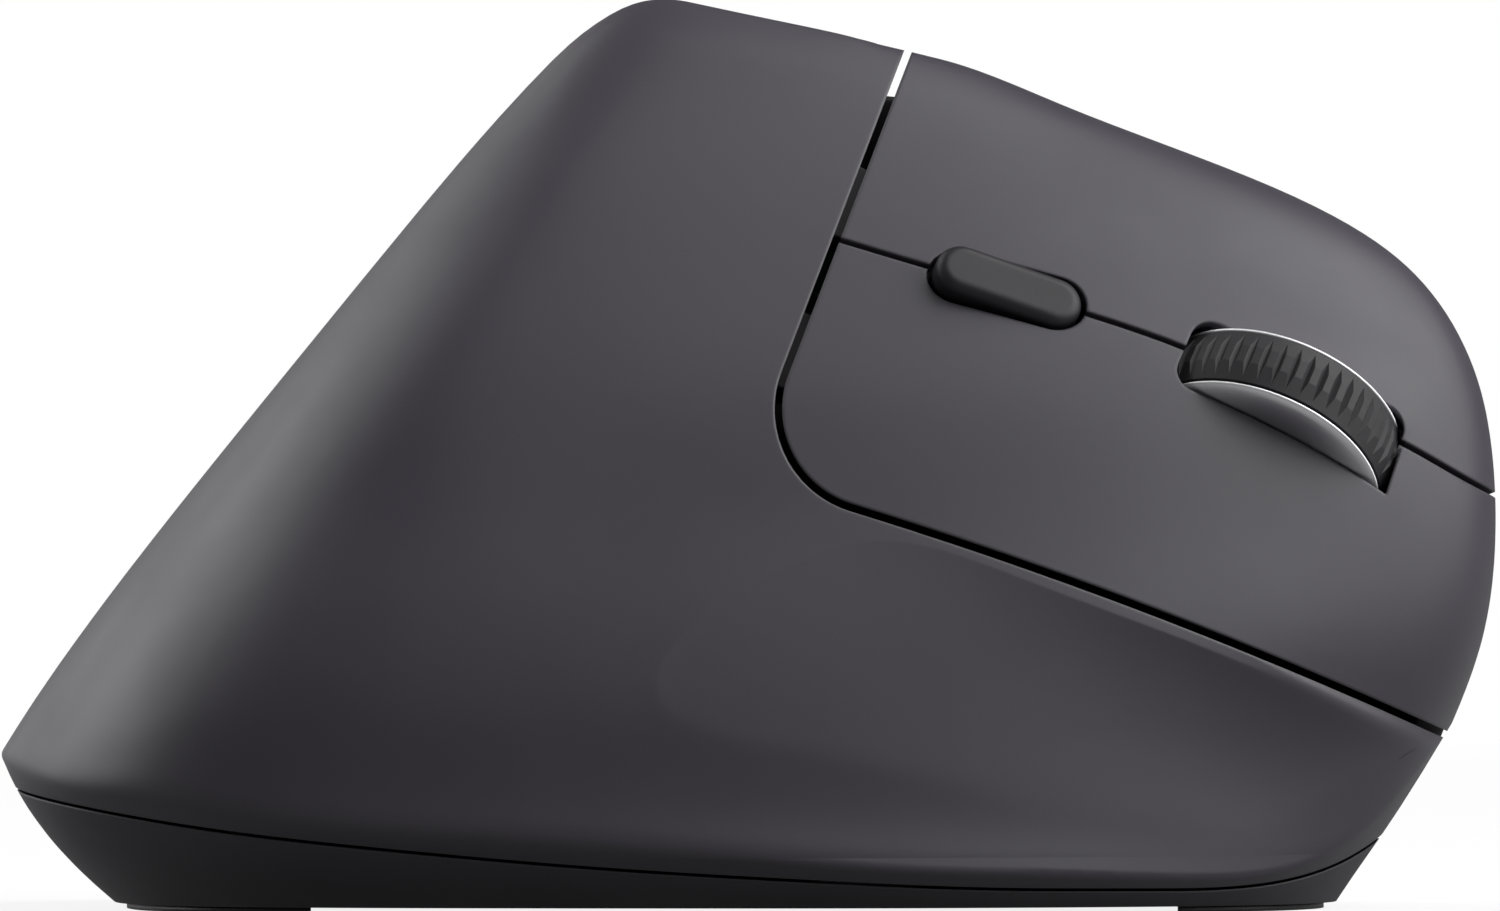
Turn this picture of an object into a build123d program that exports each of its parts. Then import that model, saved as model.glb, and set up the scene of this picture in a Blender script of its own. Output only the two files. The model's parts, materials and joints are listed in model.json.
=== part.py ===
from build123d import *
import math
import os

os.makedirs("parts", exist_ok=True)

# Overall size of the mouse, with X toward the nose, Y toward the thumb and Z up
LENGTH = 118.0
WIDTH = 75.0
HEIGHT = 71.6

# Walls, gaps and clearances
WALL = 2.4
FLOOR = 1.2
FOOT = 0.5
SKIRT_ROUND = 0.8
BUTTON_GAP = 0.6
SEAM_GAP = 0.5
PARTING_GAP = 0.3
BUTTON_PARTING_GAP = 1.0
BASE_SEAM_GAP = 0.25
RUN_FIT = 0.05
REACH = 200.0

# Rings of the outer skin as shares of the size: tail x, tail z, nose x, nose z,
# finger side x, finger side y, thumb side x, thumb side y, tail y, nose y
RING_SHARES = [
    (-0.572, -0.084, 0.403, -0.084, -0.237, -0.520, 0.000, 0.573, 0.020, 0.000),
    (-0.529, 0.084, 0.441, 0.084, -0.237, -0.503, 0.017, 0.502, 0.000, -0.010),
    (-0.492, 0.196, 0.468, 0.196, -0.229, -0.484, 0.025, 0.418, -0.025, -0.030),
    (-0.433, 0.335, 0.4915, 0.307, -0.208, -0.446, 0.034, 0.298, -0.060, -0.055),
    (-0.371, 0.466, 0.4987, 0.419, -0.182, -0.387, 0.051, 0.202, -0.080, -0.070),
    (-0.305, 0.6005, 0.494, 0.531, -0.153, -0.324, 0.068, 0.147, -0.075, -0.070),
    (-0.243, 0.726, 0.476, 0.626, -0.119, -0.248, 0.085, 0.117, -0.055, -0.060),
    (-0.187, 0.8366, 0.4305, 0.7207, -0.085, -0.171, 0.085, 0.093, -0.035, -0.035),
    (-0.1475, 0.909, 0.360, 0.788, -0.051, -0.115, 0.076, 0.075, -0.020, -0.015),
    (-0.1200, 0.954, 0.2797, 0.841, -0.025, -0.080, 0.059, 0.064, -0.008, -0.005),
    (-0.0990, 0.980, 0.212, 0.884, 0.000, -0.056, 0.051, 0.049, 0.000, 0.000),
    (-0.0254, 0.9915, 0.0805, 0.9445, 0.025, -0.0173, 0.025, 0.016, 0.000, 0.000),
]
CAVITY_RINGS = 10
SKIN_FULL_SHARES = (2.45, 2.25)

# Outlines of the undercut below the skirt: z, tail x, nose x, finger y, thumb y
UNDERCUT_SHARES = [
    (0.007, -0.4260, 0.3930, -0.415, 0.395),
    (0.060, -0.4600, 0.4150, -0.484, 0.455),
    (0.119, -0.4870, 0.4390, -0.535, 0.505),
    (0.175, -0.5030, 0.4600, -0.580, 0.545),
    (0.300, -0.5250, 0.5100, -0.660, 0.620),
]
UNDERCUT_WIDE_SHARE = -0.05
UNDERCUT_FULL_SHARES = (3.0, 2.45)
RING_STEPS = 4
TAIL_SHARE = 0.36
PULL_SHARE = 1.2

# Side view of the gap round the two buttons, as shares of length and height
GAP_TOP_SHARES = (0.146, 1.117)
GAP_CORNER_SHARES = (-0.003, 0.478)
GAP_MIDDLE_SHARES = (0.234, 0.3506)
GAP_FRONT_SHARES = (0.4636, 0.1927)
GAP_END_SHARES = (0.56, 0.110)
GAP_CORNER_RADIUS = 8.0

# Side view of the seam between the two buttons, then its front view round the nose
SEAM_SHARES = [
    (-0.0600, 0.800),
    (0.0589, 0.7369),
    (0.1712, 0.6816),
    (0.2945, 0.6145),
    (0.3627, 0.5642),
    (0.4305, 0.5168),
    (0.4685, 0.4821),
    (0.4870, 0.4656),
]
SEAM_NOSE_SHARES = [(-0.030, 0.4545), (0.010, 0.4540), (0.045, 0.4540)]

# Scoop below the buttons: x, crease z, foot z, depth at its edges, depth at its middle
SCOOP_SHARES = [
    (-0.130, 0.532, 0.090, -0.0120, -0.0110),
    (-0.085, 0.506, 0.090, -0.0050, -0.0035),
    (-0.040, 0.482, 0.085, -0.0010, 0.0012),
    (0.040, 0.447, 0.080, -0.0006, 0.0055),
    (0.120, 0.408, 0.085, -0.0006, 0.0095),
    (0.200, 0.357, 0.088, -0.0006, 0.0120),
    (0.290, 0.300, 0.092, -0.0006, 0.0120),
    (0.370, 0.244, 0.106, -0.0006, 0.0072),
    (0.425, 0.202, 0.156, -0.0006, 0.0016),
    (0.450, 0.186, 0.179, -0.0030, -0.0026),
]

# Side view of the seam between the base tray and the shells
BASE_SEAM_SHARES = [
    (-0.560, 0.158),
    (-0.489, 0.131),
    (-0.368, 0.096),
    (-0.234, 0.071),
    (-0.102, 0.052),
    (0.034, 0.038),
    (0.167, 0.028),
    (0.263, 0.0262),
    (0.346, 0.0315),
    (0.390, 0.050),
    (0.441, 0.100),
    (0.540, 0.215),
]

# Plan view of the parting between the finger side and the thumb side
PARTING_SHARES = [
    (-0.620, 0.420),
    (-0.339, 0.187),
    (-0.085, 0.080),
    (0.110, 0.060),
    (0.300, 0.040),
    (0.620, 0.027),
]


def superellipse_half(tail, nose, wide, full):
    """Returns the points of one side of a ring, from its tail to its nose."""
    points = []
    for step in range(RING_STEPS):
        angle = math.pi / 2 * step / RING_STEPS
        x = wide[0] - (wide[0] - tail[0]) * math.cos(angle) ** (2 / full[0])
        y = tail[1] + (wide[1] - tail[1]) * math.sin(angle) ** (2 / full[0])
        points.append((x, y))
    for step in range(RING_STEPS + 1):
        angle = math.pi / 2 * step / RING_STEPS
        x = wide[0] + (nose[0] - wide[0]) * math.sin(angle) ** (2 / full[1])
        y = nose[1] + (wide[1] - nose[1]) * max(math.cos(angle), 0.0) ** (2 / full[1])
        points.append((x, y))
    return points


def side_edge(points, places, turn):
    """Returns a smooth curve through the points that ends square to X."""
    first = abs(points[0].Y - points[1].Y) / abs(places[0] - places[1])
    last = abs(points[-1].Y - points[-2].Y) / abs(places[-1] - places[-2])
    tangents = [(0, turn * PULL_SHARE * first, 0), (0, -turn * PULL_SHARE * last, 0)]
    return Edge.make_spline(points, tangents=tangents, parameters=places, scale=False)


def ring_wire(tail, nose, finger, thumb, height_at, full):
    """Returns the closed curve of one ring from its four extreme points."""
    tail_places = [TAIL_SHARE * step / RING_STEPS for step in range(RING_STEPS)]
    nose_places = [
        TAIL_SHARE + (1 - TAIL_SHARE) * step / RING_STEPS for step in range(RING_STEPS + 1)
    ]
    places = tail_places + nose_places
    finger_half = superellipse_half(tail, nose, finger, full)
    thumb_half = superellipse_half(tail, nose, thumb, full)
    finger_points = [Vector(x, y, height_at(x)) for x, y in finger_half]
    thumb_points = [Vector(x, y, height_at(x)) for x, y in reversed(thumb_half)]
    back_places = [1 - place for place in reversed(places)]
    return Wire([
        side_edge(finger_points, places, -1),
        side_edge(thumb_points, back_places, 1),
    ])


def skin_ring(row, inset):
    """Returns one ring of the skin, moved inward by the inset."""
    tail_x, nose_x = row[0] * LENGTH, row[2] * LENGTH
    tail_z, nose_z = row[1] * HEIGHT, row[3] * HEIGHT
    slope = (nose_z - tail_z) / (nose_x - tail_x)
    tail = (tail_x + inset, row[8] * WIDTH)
    nose = (nose_x - inset, row[9] * WIDTH)
    finger = (row[4] * LENGTH, row[5] * WIDTH + inset)
    thumb = (row[6] * LENGTH, row[7] * WIDTH - inset)
    return ring_wire(
        tail, nose, finger, thumb, lambda x: tail_z + slope * (x - tail_x), SKIN_FULL_SHARES
    )


def undercut_ring(row, inset, height):
    """Returns one level outline of the undercut, moved inward by the inset."""
    tail = (row[1] * LENGTH + inset, 0)
    nose = (row[2] * LENGTH - inset, 0)
    finger = (UNDERCUT_WIDE_SHARE * LENGTH, row[3] * WIDTH + inset)
    thumb = (UNDERCUT_WIDE_SHARE * LENGTH, row[4] * WIDTH - inset)
    return ring_wire(tail, nose, finger, thumb, lambda x: height, UNDERCUT_FULL_SHARES)


def envelope(rings, inset, bottom, ruled):
    """Returns a closed skin shape with its undercut, inset by a wall."""
    upper = Solid.make_loft([skin_ring(row, inset) for row in rings], ruled)
    heights = [bottom] + [row[0] * HEIGHT for row in UNDERCUT_SHARES[1:]]
    lower = Solid.make_loft([
        undercut_ring(row, inset, height) for row, height in zip(UNDERCUT_SHARES, heights)
    ])
    slab_top = UNDERCUT_SHARES[-1][0] * HEIGHT
    slab = Pos(0, 0, slab_top) * Box(
        REACH, REACH, slab_top + HEIGHT, align=(Align.CENTER, Align.CENTER, Align.MAX)
    )
    return upper - (slab - lower)


def side_point(share):
    """Returns a point of the side view from shares of length and height."""
    return Vector(share[0] * LENGTH, 0, share[1] * HEIGHT)


def across(face):
    """Returns a side view face pushed through the whole width."""
    return extrude(face, amount=REACH, dir=(0, 1, 0), both=True)


def side_region(shares, shift, up):
    """Returns all that lies above or below a side view curve moved by a shift."""
    points = [side_point(share) + Vector(0, 0, shift) for share in shares]
    curve = Edge.make_spline(points)
    limit = HEIGHT * 2 if up else -HEIGHT
    start, end = points[0], points[-1]
    lines = [
        Edge.make_line(end, (end.X, 0, limit)),
        Edge.make_line((end.X, 0, limit), (start.X, 0, limit)),
        Edge.make_line((start.X, 0, limit), start),
    ]
    return across(Face(Wire([curve] + lines)))


def plan_region(shift, toward_thumb):
    """Returns one side of the parting curve, moved by a shift."""
    points = [Vector(x * LENGTH, y * WIDTH + shift, -HEIGHT) for x, y in PARTING_SHARES]
    curve = Edge.make_spline(points)
    limit = WIDTH if toward_thumb else -WIDTH
    start, end = points[0], points[-1]
    lines = [
        Edge.make_line(end, (end.X, limit, -HEIGHT)),
        Edge.make_line((end.X, limit, -HEIGHT), (start.X, limit, -HEIGHT)),
        Edge.make_line((start.X, limit, -HEIGHT), start),
    ]
    return extrude(Face(Wire([curve] + lines)), amount=HEIGHT * 3, dir=(0, 0, 1))


def button_region(shift):
    """Returns the side view region of both buttons, grown by a shift."""
    top, corner = side_point(GAP_TOP_SHARES), side_point(GAP_CORNER_SHARES)
    middle, front = side_point(GAP_MIDDLE_SHARES), side_point(GAP_FRONT_SHARES)
    end = side_point(GAP_END_SHARES)
    roof = HEIGHT * 1.4
    edges = [
        Edge.make_line((top.X, top.Z), (corner.X, corner.Z)),
        Edge.make_three_point_arc((corner.X, corner.Z), (middle.X, middle.Z), (front.X, front.Z)),
        Edge.make_line((front.X, front.Z), (end.X, end.Z)),
        Edge.make_line((end.X, end.Z), (end.X, roof)),
        Edge.make_line((end.X, roof), (top.X, roof)),
        Edge.make_line((top.X, roof), (top.X, top.Z)),
    ]
    flat = Face(Wire(edges))
    rounded = flat.fillet_2d(
        GAP_CORNER_RADIUS, [flat.vertices().sort_by_distance((corner.X, corner.Z))[0]]
    )
    grown = offset(rounded, amount=shift, kind=Kind.INTERSECTION)
    upright = Plane(origin=(0, 0, 0), x_dir=(1, 0, 0), z_dir=(0, -1, 0))
    return across(upright.location * grown)


# Outer skin with its rounded skirt, and the middle of its footprint
sharp_skin = envelope(RING_SHARES, 0, FOOT, False)
skirt_edges = [
    edge for edge in sharp_skin.edges()
    if edge.length > LENGTH and FOOT < edge.center().Z < UNDERCUT_SHARES[-1][0] * HEIGHT
    and edge.bounding_box().min.Z > FOOT * 2
]
skin = sharp_skin.fillet(SKIRT_ROUND, skirt_edges)
limits = skin.bounding_box()
CENTRE = Vector((limits.min.X + limits.max.X) / 2, (limits.min.Y + limits.max.Y) / 2, 0)


def first_hit(start, toward):
    """Returns the first point of the skin on the way from a start."""
    hits = skin.find_intersection_points(Axis(start, toward))
    return min((point for point, normal in hits), key=lambda point: (point - start).length)


def skin_hit(x, z, side):
    """Returns the outermost point of the skin at a side view place."""
    return first_hit(Vector(x, side * REACH, z), Vector(0, -side, 0))


def nose_hit(y, z):
    """Returns the foremost point of the skin at a front view place."""
    return first_hit(Vector(REACH, y, z), Vector(-1, 0, 0))


def scoop_section(row):
    """Returns one upright section of the scoop, open toward the finger side."""
    x, crease_z, foot_z = row[0] * LENGTH, row[1] * HEIGHT, row[2] * HEIGHT
    edge, deep = Vector(0, row[3] * WIDTH, 0), Vector(0, row[4] * WIDTH, 0)
    crease = skin_hit(x, crease_z, -1) + edge
    foot = skin_hit(x, foot_z, -1) + edge
    middle = skin_hit(x, (crease_z + foot_z) / 2, -1) + deep
    away = Vector(x, -WIDTH, foot_z)
    high = Vector(x, -WIDTH, crease_z)
    return Wire([
        Edge.make_three_point_arc(crease, middle, foot),
        Edge.make_line(foot, away),
        Edge.make_line(away, high),
        Edge.make_line(high, crease),
    ])


# Body with its scoop, the hollow and the raw wall between them
body = skin - Solid.make_loft([scoop_section(row) for row in SCOOP_SHARES])
floor_top = FOOT + FLOOR
cavity = envelope(RING_SHARES[:CAVITY_RINGS], WALL, floor_top, True)
wall = body - cavity


def save(name, *shapes):
    """Writes one node, moved so that the footprint's middle is the origin."""
    moved = [shape.moved(Location((-CENTRE.X, -CENTRE.Y, 0))) for shape in shapes]
    node = moved[0] if len(moved) == 1 else Compound(moved)
    export_step(node, f"parts/{name}.step")
    print(name, round(node.volume, 1), len(node.solids()), node.is_valid)


# Deck frame: U along the button seam, V up the finger face, W out of it
WHEEL_SHARES = (0.3593, 0.567)
DECK_SLOPE = math.radians(23.7)
DECK_NORMAL = Vector(0.231, -0.829, 0.509)
SEAM_CUT = Vector(0.79, -0.53, 0.33)
wheel_point = skin_hit(WHEEL_SHARES[0] * LENGTH, WHEEL_SHARES[1] * HEIGHT, -1)
run_y = (math.cos(DECK_SLOPE) * DECK_NORMAL.X - math.sin(DECK_SLOPE) * DECK_NORMAL.Z)
DECK = Plane(
    origin=wheel_point,
    x_dir=(math.cos(DECK_SLOPE), run_y / -DECK_NORMAL.Y, -math.sin(DECK_SLOPE)),
    z_dir=DECK_NORMAL,
)


def block(plane, u, v, w, size):
    """Returns a box of a size, centred on u and v and standing on w."""
    length, breadth, height = size
    return plane.location * Pos(u, v, w + height / 2) * Box(length, breadth, height)


def rod(plane, u, v, w, radius, height):
    """Returns a round bar that stands on w of a frame."""
    return plane.location * Pos(u, v, w + height / 2) * Cylinder(radius, height)


def bar(plane, u, v, w, radius, length):
    """Returns a round bar that lies along V of a frame, centred on v."""
    return plane.location * Pos(u, v, w) * Rot(90, 0, 0) * Cylinder(radius, length)


def joined(pieces):
    """Returns all the pieces fused into one."""
    whole = pieces[0]
    for piece in pieces[1:]:
        whole = whole + piece
    return whole


# Wheel sizes
WHEEL_RADIUS = 10.5
WHEEL_PROUD = 3.8
TYRE_WIDTH = 4.8
TYRE_DEPTH = 2.0
TYRE_CROWN = 0.4
TYRE_FLAT = 1.6
RIM_WIDTH = 0.45
RIM_BORE = 2.6
RIM_DISH = 0.25
RIM_DISH_EDGE = 0.3
WELL_BACK = 9.0
WELL_FRONT = 9.5
WELL_WIDTH = 6.9
WELL_CORNER = 1.8
WELL_ROOM = 0.45
WELL_BACK_DEPTH = 0.7
WELL_FRONT_DEPTH = 1.7
AXLE_W = WHEEL_PROUD - WHEEL_RADIUS
AXLE_RADIUS = 1.0
GROOVE_COUNT = 54
GROOVE_SIZE = 0.9
GROOVE_TURN = 45
GROOVE_SINK = 0.33
HUB_RADIUS = 3.4
WEB_WIDTH = 1.6
LIP_DEPTH = 1.2

# Mode button sizes
MODE_SHARES = (0.1712, 0.6816)
MODE_TURN = 5.2
MODE_LENGTH = 12.0
MODE_WIDTH = 4.4
MODE_GAP = 0.4
MODE_PROUD = 1.2
MODE_ROUND = 0.9
MODE_SKIRT = 3.0
MODE_WING = 6.8
MODE_WING_THICK = 0.9
MODE_TRIM = 1.6
MODE_CORNER = 0.4
MODE_SLIDE = 0.2
MODE_STEM = 1.5
MODE_STEM_LENGTH = 1.0

# Hinge of the two main buttons
HINGE_U = -42.0
HINGE_W = -9.5
HINGE_PIN = 0.8
HINGE_EYE = 2.1
LEFT_ARM_V = 5.6
LEFT_ARM_WIDTH = 7.0
RIGHT_ARM_V = -9.4
RIGHT_ARM_WIDTH = 7.4
ARM_THICK = 2.2
ARM_FRONT = -33.0
ARM_RISER = 3.4
ARM_TOP = -4.7
LUG_LOW_V = -14.3
LUG_LOW_WIDTH = 2.0
LUG_HIGH_V = -3.0
LUG_HIGH_WIDTH = 4.4

# Boards
BOARD_THICK = 1.6
DECK_BOARD_W = -14.1
DECK_BOARD_TOP = DECK_BOARD_W + BOARD_THICK
DECK_REAR = -34.0
DECK_WAIST = -12.0
DECK_FRONT = 3.0
DECK_REAR_LOW = -10.0
DECK_REAR_HIGH = 5.0
DECK_ARM_LOW = -15.2
DECK_ARM_HIGH = 11.8
DECK_EAR_HIGH = 10.0
DECK_EAR_BACK = -18.0
NOTCH_REACH = 10.8
NOTCH_WIDTH = 7.8

# Micro switches under the main buttons
SWITCH_SIZE = (12.8, 5.8, 6.5)
SWITCH_STEM_SIZE = (2.9, 1.2, 0.7)
SWITCH_STEM_U = 2.4
LEFT_SWITCH_UV = (-4.8, 8.5)
RIGHT_SWITCH_UV = (-8.0, -11.8)
POST_SIZE = 2.8
POST_TOP = -1.7
POST_CLEAR = 0.72

# Small push switches
TACT_SIZE = 6.0
TACT_SMALL = 4.5
TACT_ROUND = 1.6
TACT_PLUNGER = 1.4
WHEEL_TACT_HEIGHT = 3.1
SIDE_TACT_HEIGHT = 1.8
TACT_GAP = 0.5

# Wheel carriage
CHEEK_INNER = 3.5
CHEEK_THICK = 1.4
CHEEK_BACK = -12.2
CHEEK_FRONT = 3.2
CHEEK_LOW = -9.4
CHEEK_HIGH = -4.6
BRIDGE_BACK = -16.4
BRIDGE_WIDTH = 10.6
GUIDE_V = 3.9
GUIDE_RADIUS = 0.9
GUIDE_U = -14.3
ENCODER_THICK = 2.6
ENCODER_LENGTH = 7.6
ENCODER_LOW = -11.6
ENCODER_HIGH = -4.8
HEX_RADIUS = 1.1

# Frame plate behind the deck board
PLATE_W = -17.7
PLATE_THICK = 1.6
PLATE_REAR = -46.4
PLATE_REAR_HIGH = 1.6
PLATE_LOW = -15.4
PLATE_ARM_FRONT = 8.0
PLATE_ARM_HIGH = -5.0
PLATE_TOP_HIGH = 11.0
PLATE_TOP_FRONT = 2.0
PLATE_NOTCH_BACK = -8.6
STANDOFF_RADIUS = 1.7
STANDOFF_UV = [(-31.5, -7.4), (-18.6, -7.8), (-15.8, 7.7)]
PIN_HOLE = 1.3
LEG_RADIUS = 2.6
LEG_XY = [(-3.0, -4.0), (26.0, -1.5), (39.5, -7.0)]
PAD_RADIUS = 3.4
PAD_HIGH = 3.8
PAD_SINK = 2.0
SCREW_HEAD_RADIUS = 2.0
SCREW_HEAD = 1.3
SCREW_SHANK = 1.0
SCREW_LENGTH = 6.0
COLUMN_RADIUS = 2.5

# Battery and its bay
CELL_RADIUS = 7.1
CELL_LENGTH = 49.5
CELL_NUB_RADIUS = 2.75
CELL_NUB = 1.0
CELL_BACK = -30.5
CELL_Y = 13.4
CELL_Z = 9.4
BAY_END = 1.2
BAY_SIDE = 1.0
BAY_CLEAR = 0.5
BAY_HIGH = 12.0
BAY_SPRING = 2.6
BAY_PLATE = 0.9
DOOR_GAP = 0.3
DOOR_LENGTH = 52.0
DOOR_WIDTH = 15.4
DOOR_CORNER = 2.0
DOOR_TAB_SIZE = (5.0, 0.8, 3.6)
DOOR_TAB_X = 15.0
DOOR_TAB_Y = 6.9
LEAF_HALF = 3.0
LEAF_THICK = 0.3
LEAF_WIDTH = 4.0

# Receiver and its pocket
RECEIVER_BODY_SIZE = (8.4, 14.4, 6.0)
RECEIVER_PLUG_SIZE = (11.4, 12.0, 4.5)
RECEIVER_X = -23.2
RECEIVER_Y = -17.6
RECEIVER_Z = 0.8
POCKET_WALL = 1.0
POCKET_ROOM = 0.35

# Main board, sensor and power switch
MAIN_LOW = 5.2
MAIN_BACK = 0.2
MAIN_FRONT = 36.0
MAIN_RIGHT = -19.8
MAIN_LEFT = -5.6
MAIN_INSET = 2.6
BOSS_RADIUS = 2.3
PCB_SCREW_HEAD = 1.7
PCB_SCREW_HEAD_HIGH = 1.1
PCB_SCREW_SHANK = 0.8
PCB_SCREW_LENGTH = 3.6
SENSOR_XY = (12.0, -12.8)
SENSOR_SIZE = (10.4, 9.0, 2.8)
SENSOR_HOLE = (8.0, 5.0)
LENS_SIZE = (13.4, 11.0, 1.1)
LENS_BARREL = 2.2
LENS_WINDOW = (9.0, 6.4)
CHIP_SIZE = (7.0, 7.0, 0.9)
CHIP_XY = (21.6, -12.8)
HEADER_SIZE = (6.0, 4.2, 4.6)
HEADER_XY = (28.6, -9.6)
POWER_XY = (24.0, -13.0)
POWER_BODY_SIZE = (8.6, 3.6, 1.5)
POWER_KNOB_SIZE = (6.0, 4.4, 1.2)
POWER_NUB_SIZE = (3.0, 2.6, 1.2)
POWER_TRAVEL = 3.0
POWER_SLOT_WIDTH = 3.4
POWER_KNOB_Z = 2.0

# Side buttons for the thumb
SIDE_CENTRE_SHARES = [(0.040, 0.760), (0.222, 0.7085)]
SIDE_TILT = 9.8
SIDE_LENGTH = 20.6
SIDE_HEIGHT = 8.2
SIDE_CORNER = 2.4
SIDE_GAP = 0.4
SIDE_PROUD = 0.8
SIDE_BOARD_DROP = 6.4
SIDE_BOARD_THICK = 0.8
SIDE_BOARD_SIZE = (34.0, 6.4)
SIDE_BOARD_SHIFT = (-2.9, 0.5)
SIDE_TONGUE_SIZE = (20.0, 8.6)
SIDE_TONGUE_SHIFT = (-9.5, -4.7)
SIDE_BOSS_SHIFTS = [(-17.1, -6.8), (-1.9, -6.8)]
SIDE_BOSS_RADIUS = 1.7
SIDE_POST = 2.6

# Housing screws, as places on the base
SHELL_SCREW_XY = [(-40.0, -12.0), (-38.6, 3.0), (16.0, -23.6)]
THUMB_SCREW_XY = [(4.0, 25.4), (37.0, 11.5)]
RIB_THICK = 1.6

# Glides
GLIDE_INSET = 1.0
GLIDE_REAR_FRONT = -34.4
GLIDE_FRONT_BACK = 33.6
GLIDE_SHIFT = 7.0

mode_point = skin_hit(MODE_SHARES[0] * LENGTH, MODE_SHARES[1] * HEIGHT, -1)
MODE = Plane(
    origin=mode_point,
    x_dir=DECK.x_dir.rotate(Axis((0, 0, 0), DECK.z_dir), MODE_TURN),
    z_dir=DECK.z_dir,
)
MODE_U, MODE_V, MODE_W = DECK.to_local_coords(mode_point)


def ranged(plane, u, v, w):
    """Returns a box that fills the ranges u, v and w of a frame."""
    size = [high - low for low, high in (u, v, w)]
    middle = [(low + high) / 2 for low, high in (u, v, w)]
    return plane.location * Pos(*middle) * Box(*size)


def pill(plane, length, width, low, high):
    """Returns an upright prism with round ends between two heights."""
    return plane.location * Pos(0, 0, low) * extrude(SlotOverall(length, width), amount=high - low)


def slab(plane, size, corner, u, v, low, high):
    """Returns an upright prism with rounded corners between two heights."""
    outline = RectangleRounded(size[0], size[1], corner)
    return plane.location * Pos(u, v, low) * extrude(outline, amount=high - low)


def moved_aside(points, amount):
    """Returns the points of a level curve moved square to it."""
    moved = []
    for index, point in enumerate(points):
        run = points[min(index + 1, len(points) - 1)] - points[max(index - 1, 0)]
        moved.append(point + Vector(-run.Y, run.X, 0).normalized() * amount)
    return moved


SEAM = Plane(origin=wheel_point, x_dir=DECK.x_dir, z_dir=SEAM_CUT)
seam_hits = [skin_hit(x * LENGTH, z * HEIGHT, -1) for x, z in SEAM_SHARES]
seam_hits += [nose_hit(y * WIDTH, z * HEIGHT) for y, z in SEAM_NOSE_SHARES]
seam_places = []
for hit in seam_hits:
    place = SEAM.to_local_coords(hit)
    seam_places.append(Vector(place.X, place.Y, 0))


def seam_region(shift, up):
    """Returns all above or below the button seam, cut slantwise so that no light passes."""
    points = moved_aside(seam_places, shift)
    start, end = points[0], points[-1]
    corners = [end, Vector(end.X, REACH, 0)]
    if not up:
        corners += [Vector(REACH, REACH, 0), Vector(REACH, -REACH, 0)]
    corners += [
        Vector(-REACH, REACH if up else -REACH, 0), Vector(-REACH, start.Y, 0), start
    ]
    lines = [Edge.make_line(corners[i], corners[i + 1]) for i in range(len(corners) - 1)]
    outline = Face(Wire([Edge.make_spline(points)] + lines))
    return SEAM.location * extrude(outline, amount=REACH, dir=(0, 0, 1), both=True)


# Shells cut from the wall
well_middle = (WELL_FRONT - WELL_BACK) / 2
well = slab(
    DECK, (WELL_FRONT + WELL_BACK, WELL_WIDTH), WELL_CORNER, well_middle, 0,
    -WHEEL_RADIUS, WHEEL_RADIUS,
)
room = bar(DECK, 0, 0, AXLE_W, WHEEL_RADIUS + WELL_ROOM, WELL_WIDTH)
room_back = ranged(DECK, (-REACH, 0), (-WELL_WIDTH, WELL_WIDTH), (-REACH, -WELL_BACK_DEPTH))
room_front = ranged(DECK, (0, REACH), (-WELL_WIDTH, WELL_WIDTH), (-REACH, -WELL_FRONT_DEPTH))
well_cut = well + (room & room_back) + (room & room_front)
mode_hole = pill(
    MODE, MODE_LENGTH + MODE_GAP * 2, MODE_WIDTH + MODE_GAP * 2, -WHEEL_RADIUS, WHEEL_RADIUS
)
above_base = side_region(BASE_SEAM_SHARES, BASE_SEAM_GAP / 2, True)
below_base = side_region(BASE_SEAM_SHARES, -BASE_SEAM_GAP / 2, False)
upper_wall = wall & above_base
base_wall = wall & below_base
finger_wall = upper_wall & plan_region(-PARTING_GAP / 2, False)
thumb_wall = upper_wall & plan_region(PARTING_GAP / 2, True)
button_wall = upper_wall & plan_region(-BUTTON_PARTING_GAP, False)
button_wall = (button_wall & button_region(-BUTTON_GAP / 2)) - well_cut - mode_hole
outer_wall = finger_wall - button_region(BUTTON_GAP / 2)
left_wall = button_wall & seam_region(SEAM_GAP / 2, True)
right_wall = button_wall & seam_region(-SEAM_GAP / 2, False)


def click_button(shell, arm_v, arm_width, switch_uv):
    """Returns a button shell with its hinge arm and the post over its switch."""
    arm_low = HINGE_W - ARM_THICK / 2
    arm_range = (arm_v - arm_width / 2, arm_v + arm_width / 2)
    riser = ranged(DECK, (ARM_FRONT - ARM_RISER, ARM_FRONT), arm_range, (arm_low, ARM_TOP))
    arm = ranged(DECK, (HINGE_U, ARM_FRONT), arm_range, (arm_low, arm_low + ARM_THICK))
    eye = bar(DECK, HINGE_U, arm_v, HINGE_W, HINGE_EYE, arm_width)
    bore = bar(DECK, HINGE_U, arm_v, HINGE_W, HINGE_PIN + RUN_FIT, arm_width * 2)
    stem_top = DECK_BOARD_TOP + SWITCH_SIZE[2] + SWITCH_STEM_SIZE[2]
    post_low = stem_top + POST_CLEAR
    post = block(
        DECK, switch_uv[0] + SWITCH_STEM_U, switch_uv[1], post_low,
        (POST_SIZE, POST_SIZE, POST_TOP - post_low),
    )
    return (shell + riser + arm + eye + post) - bore


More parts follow.
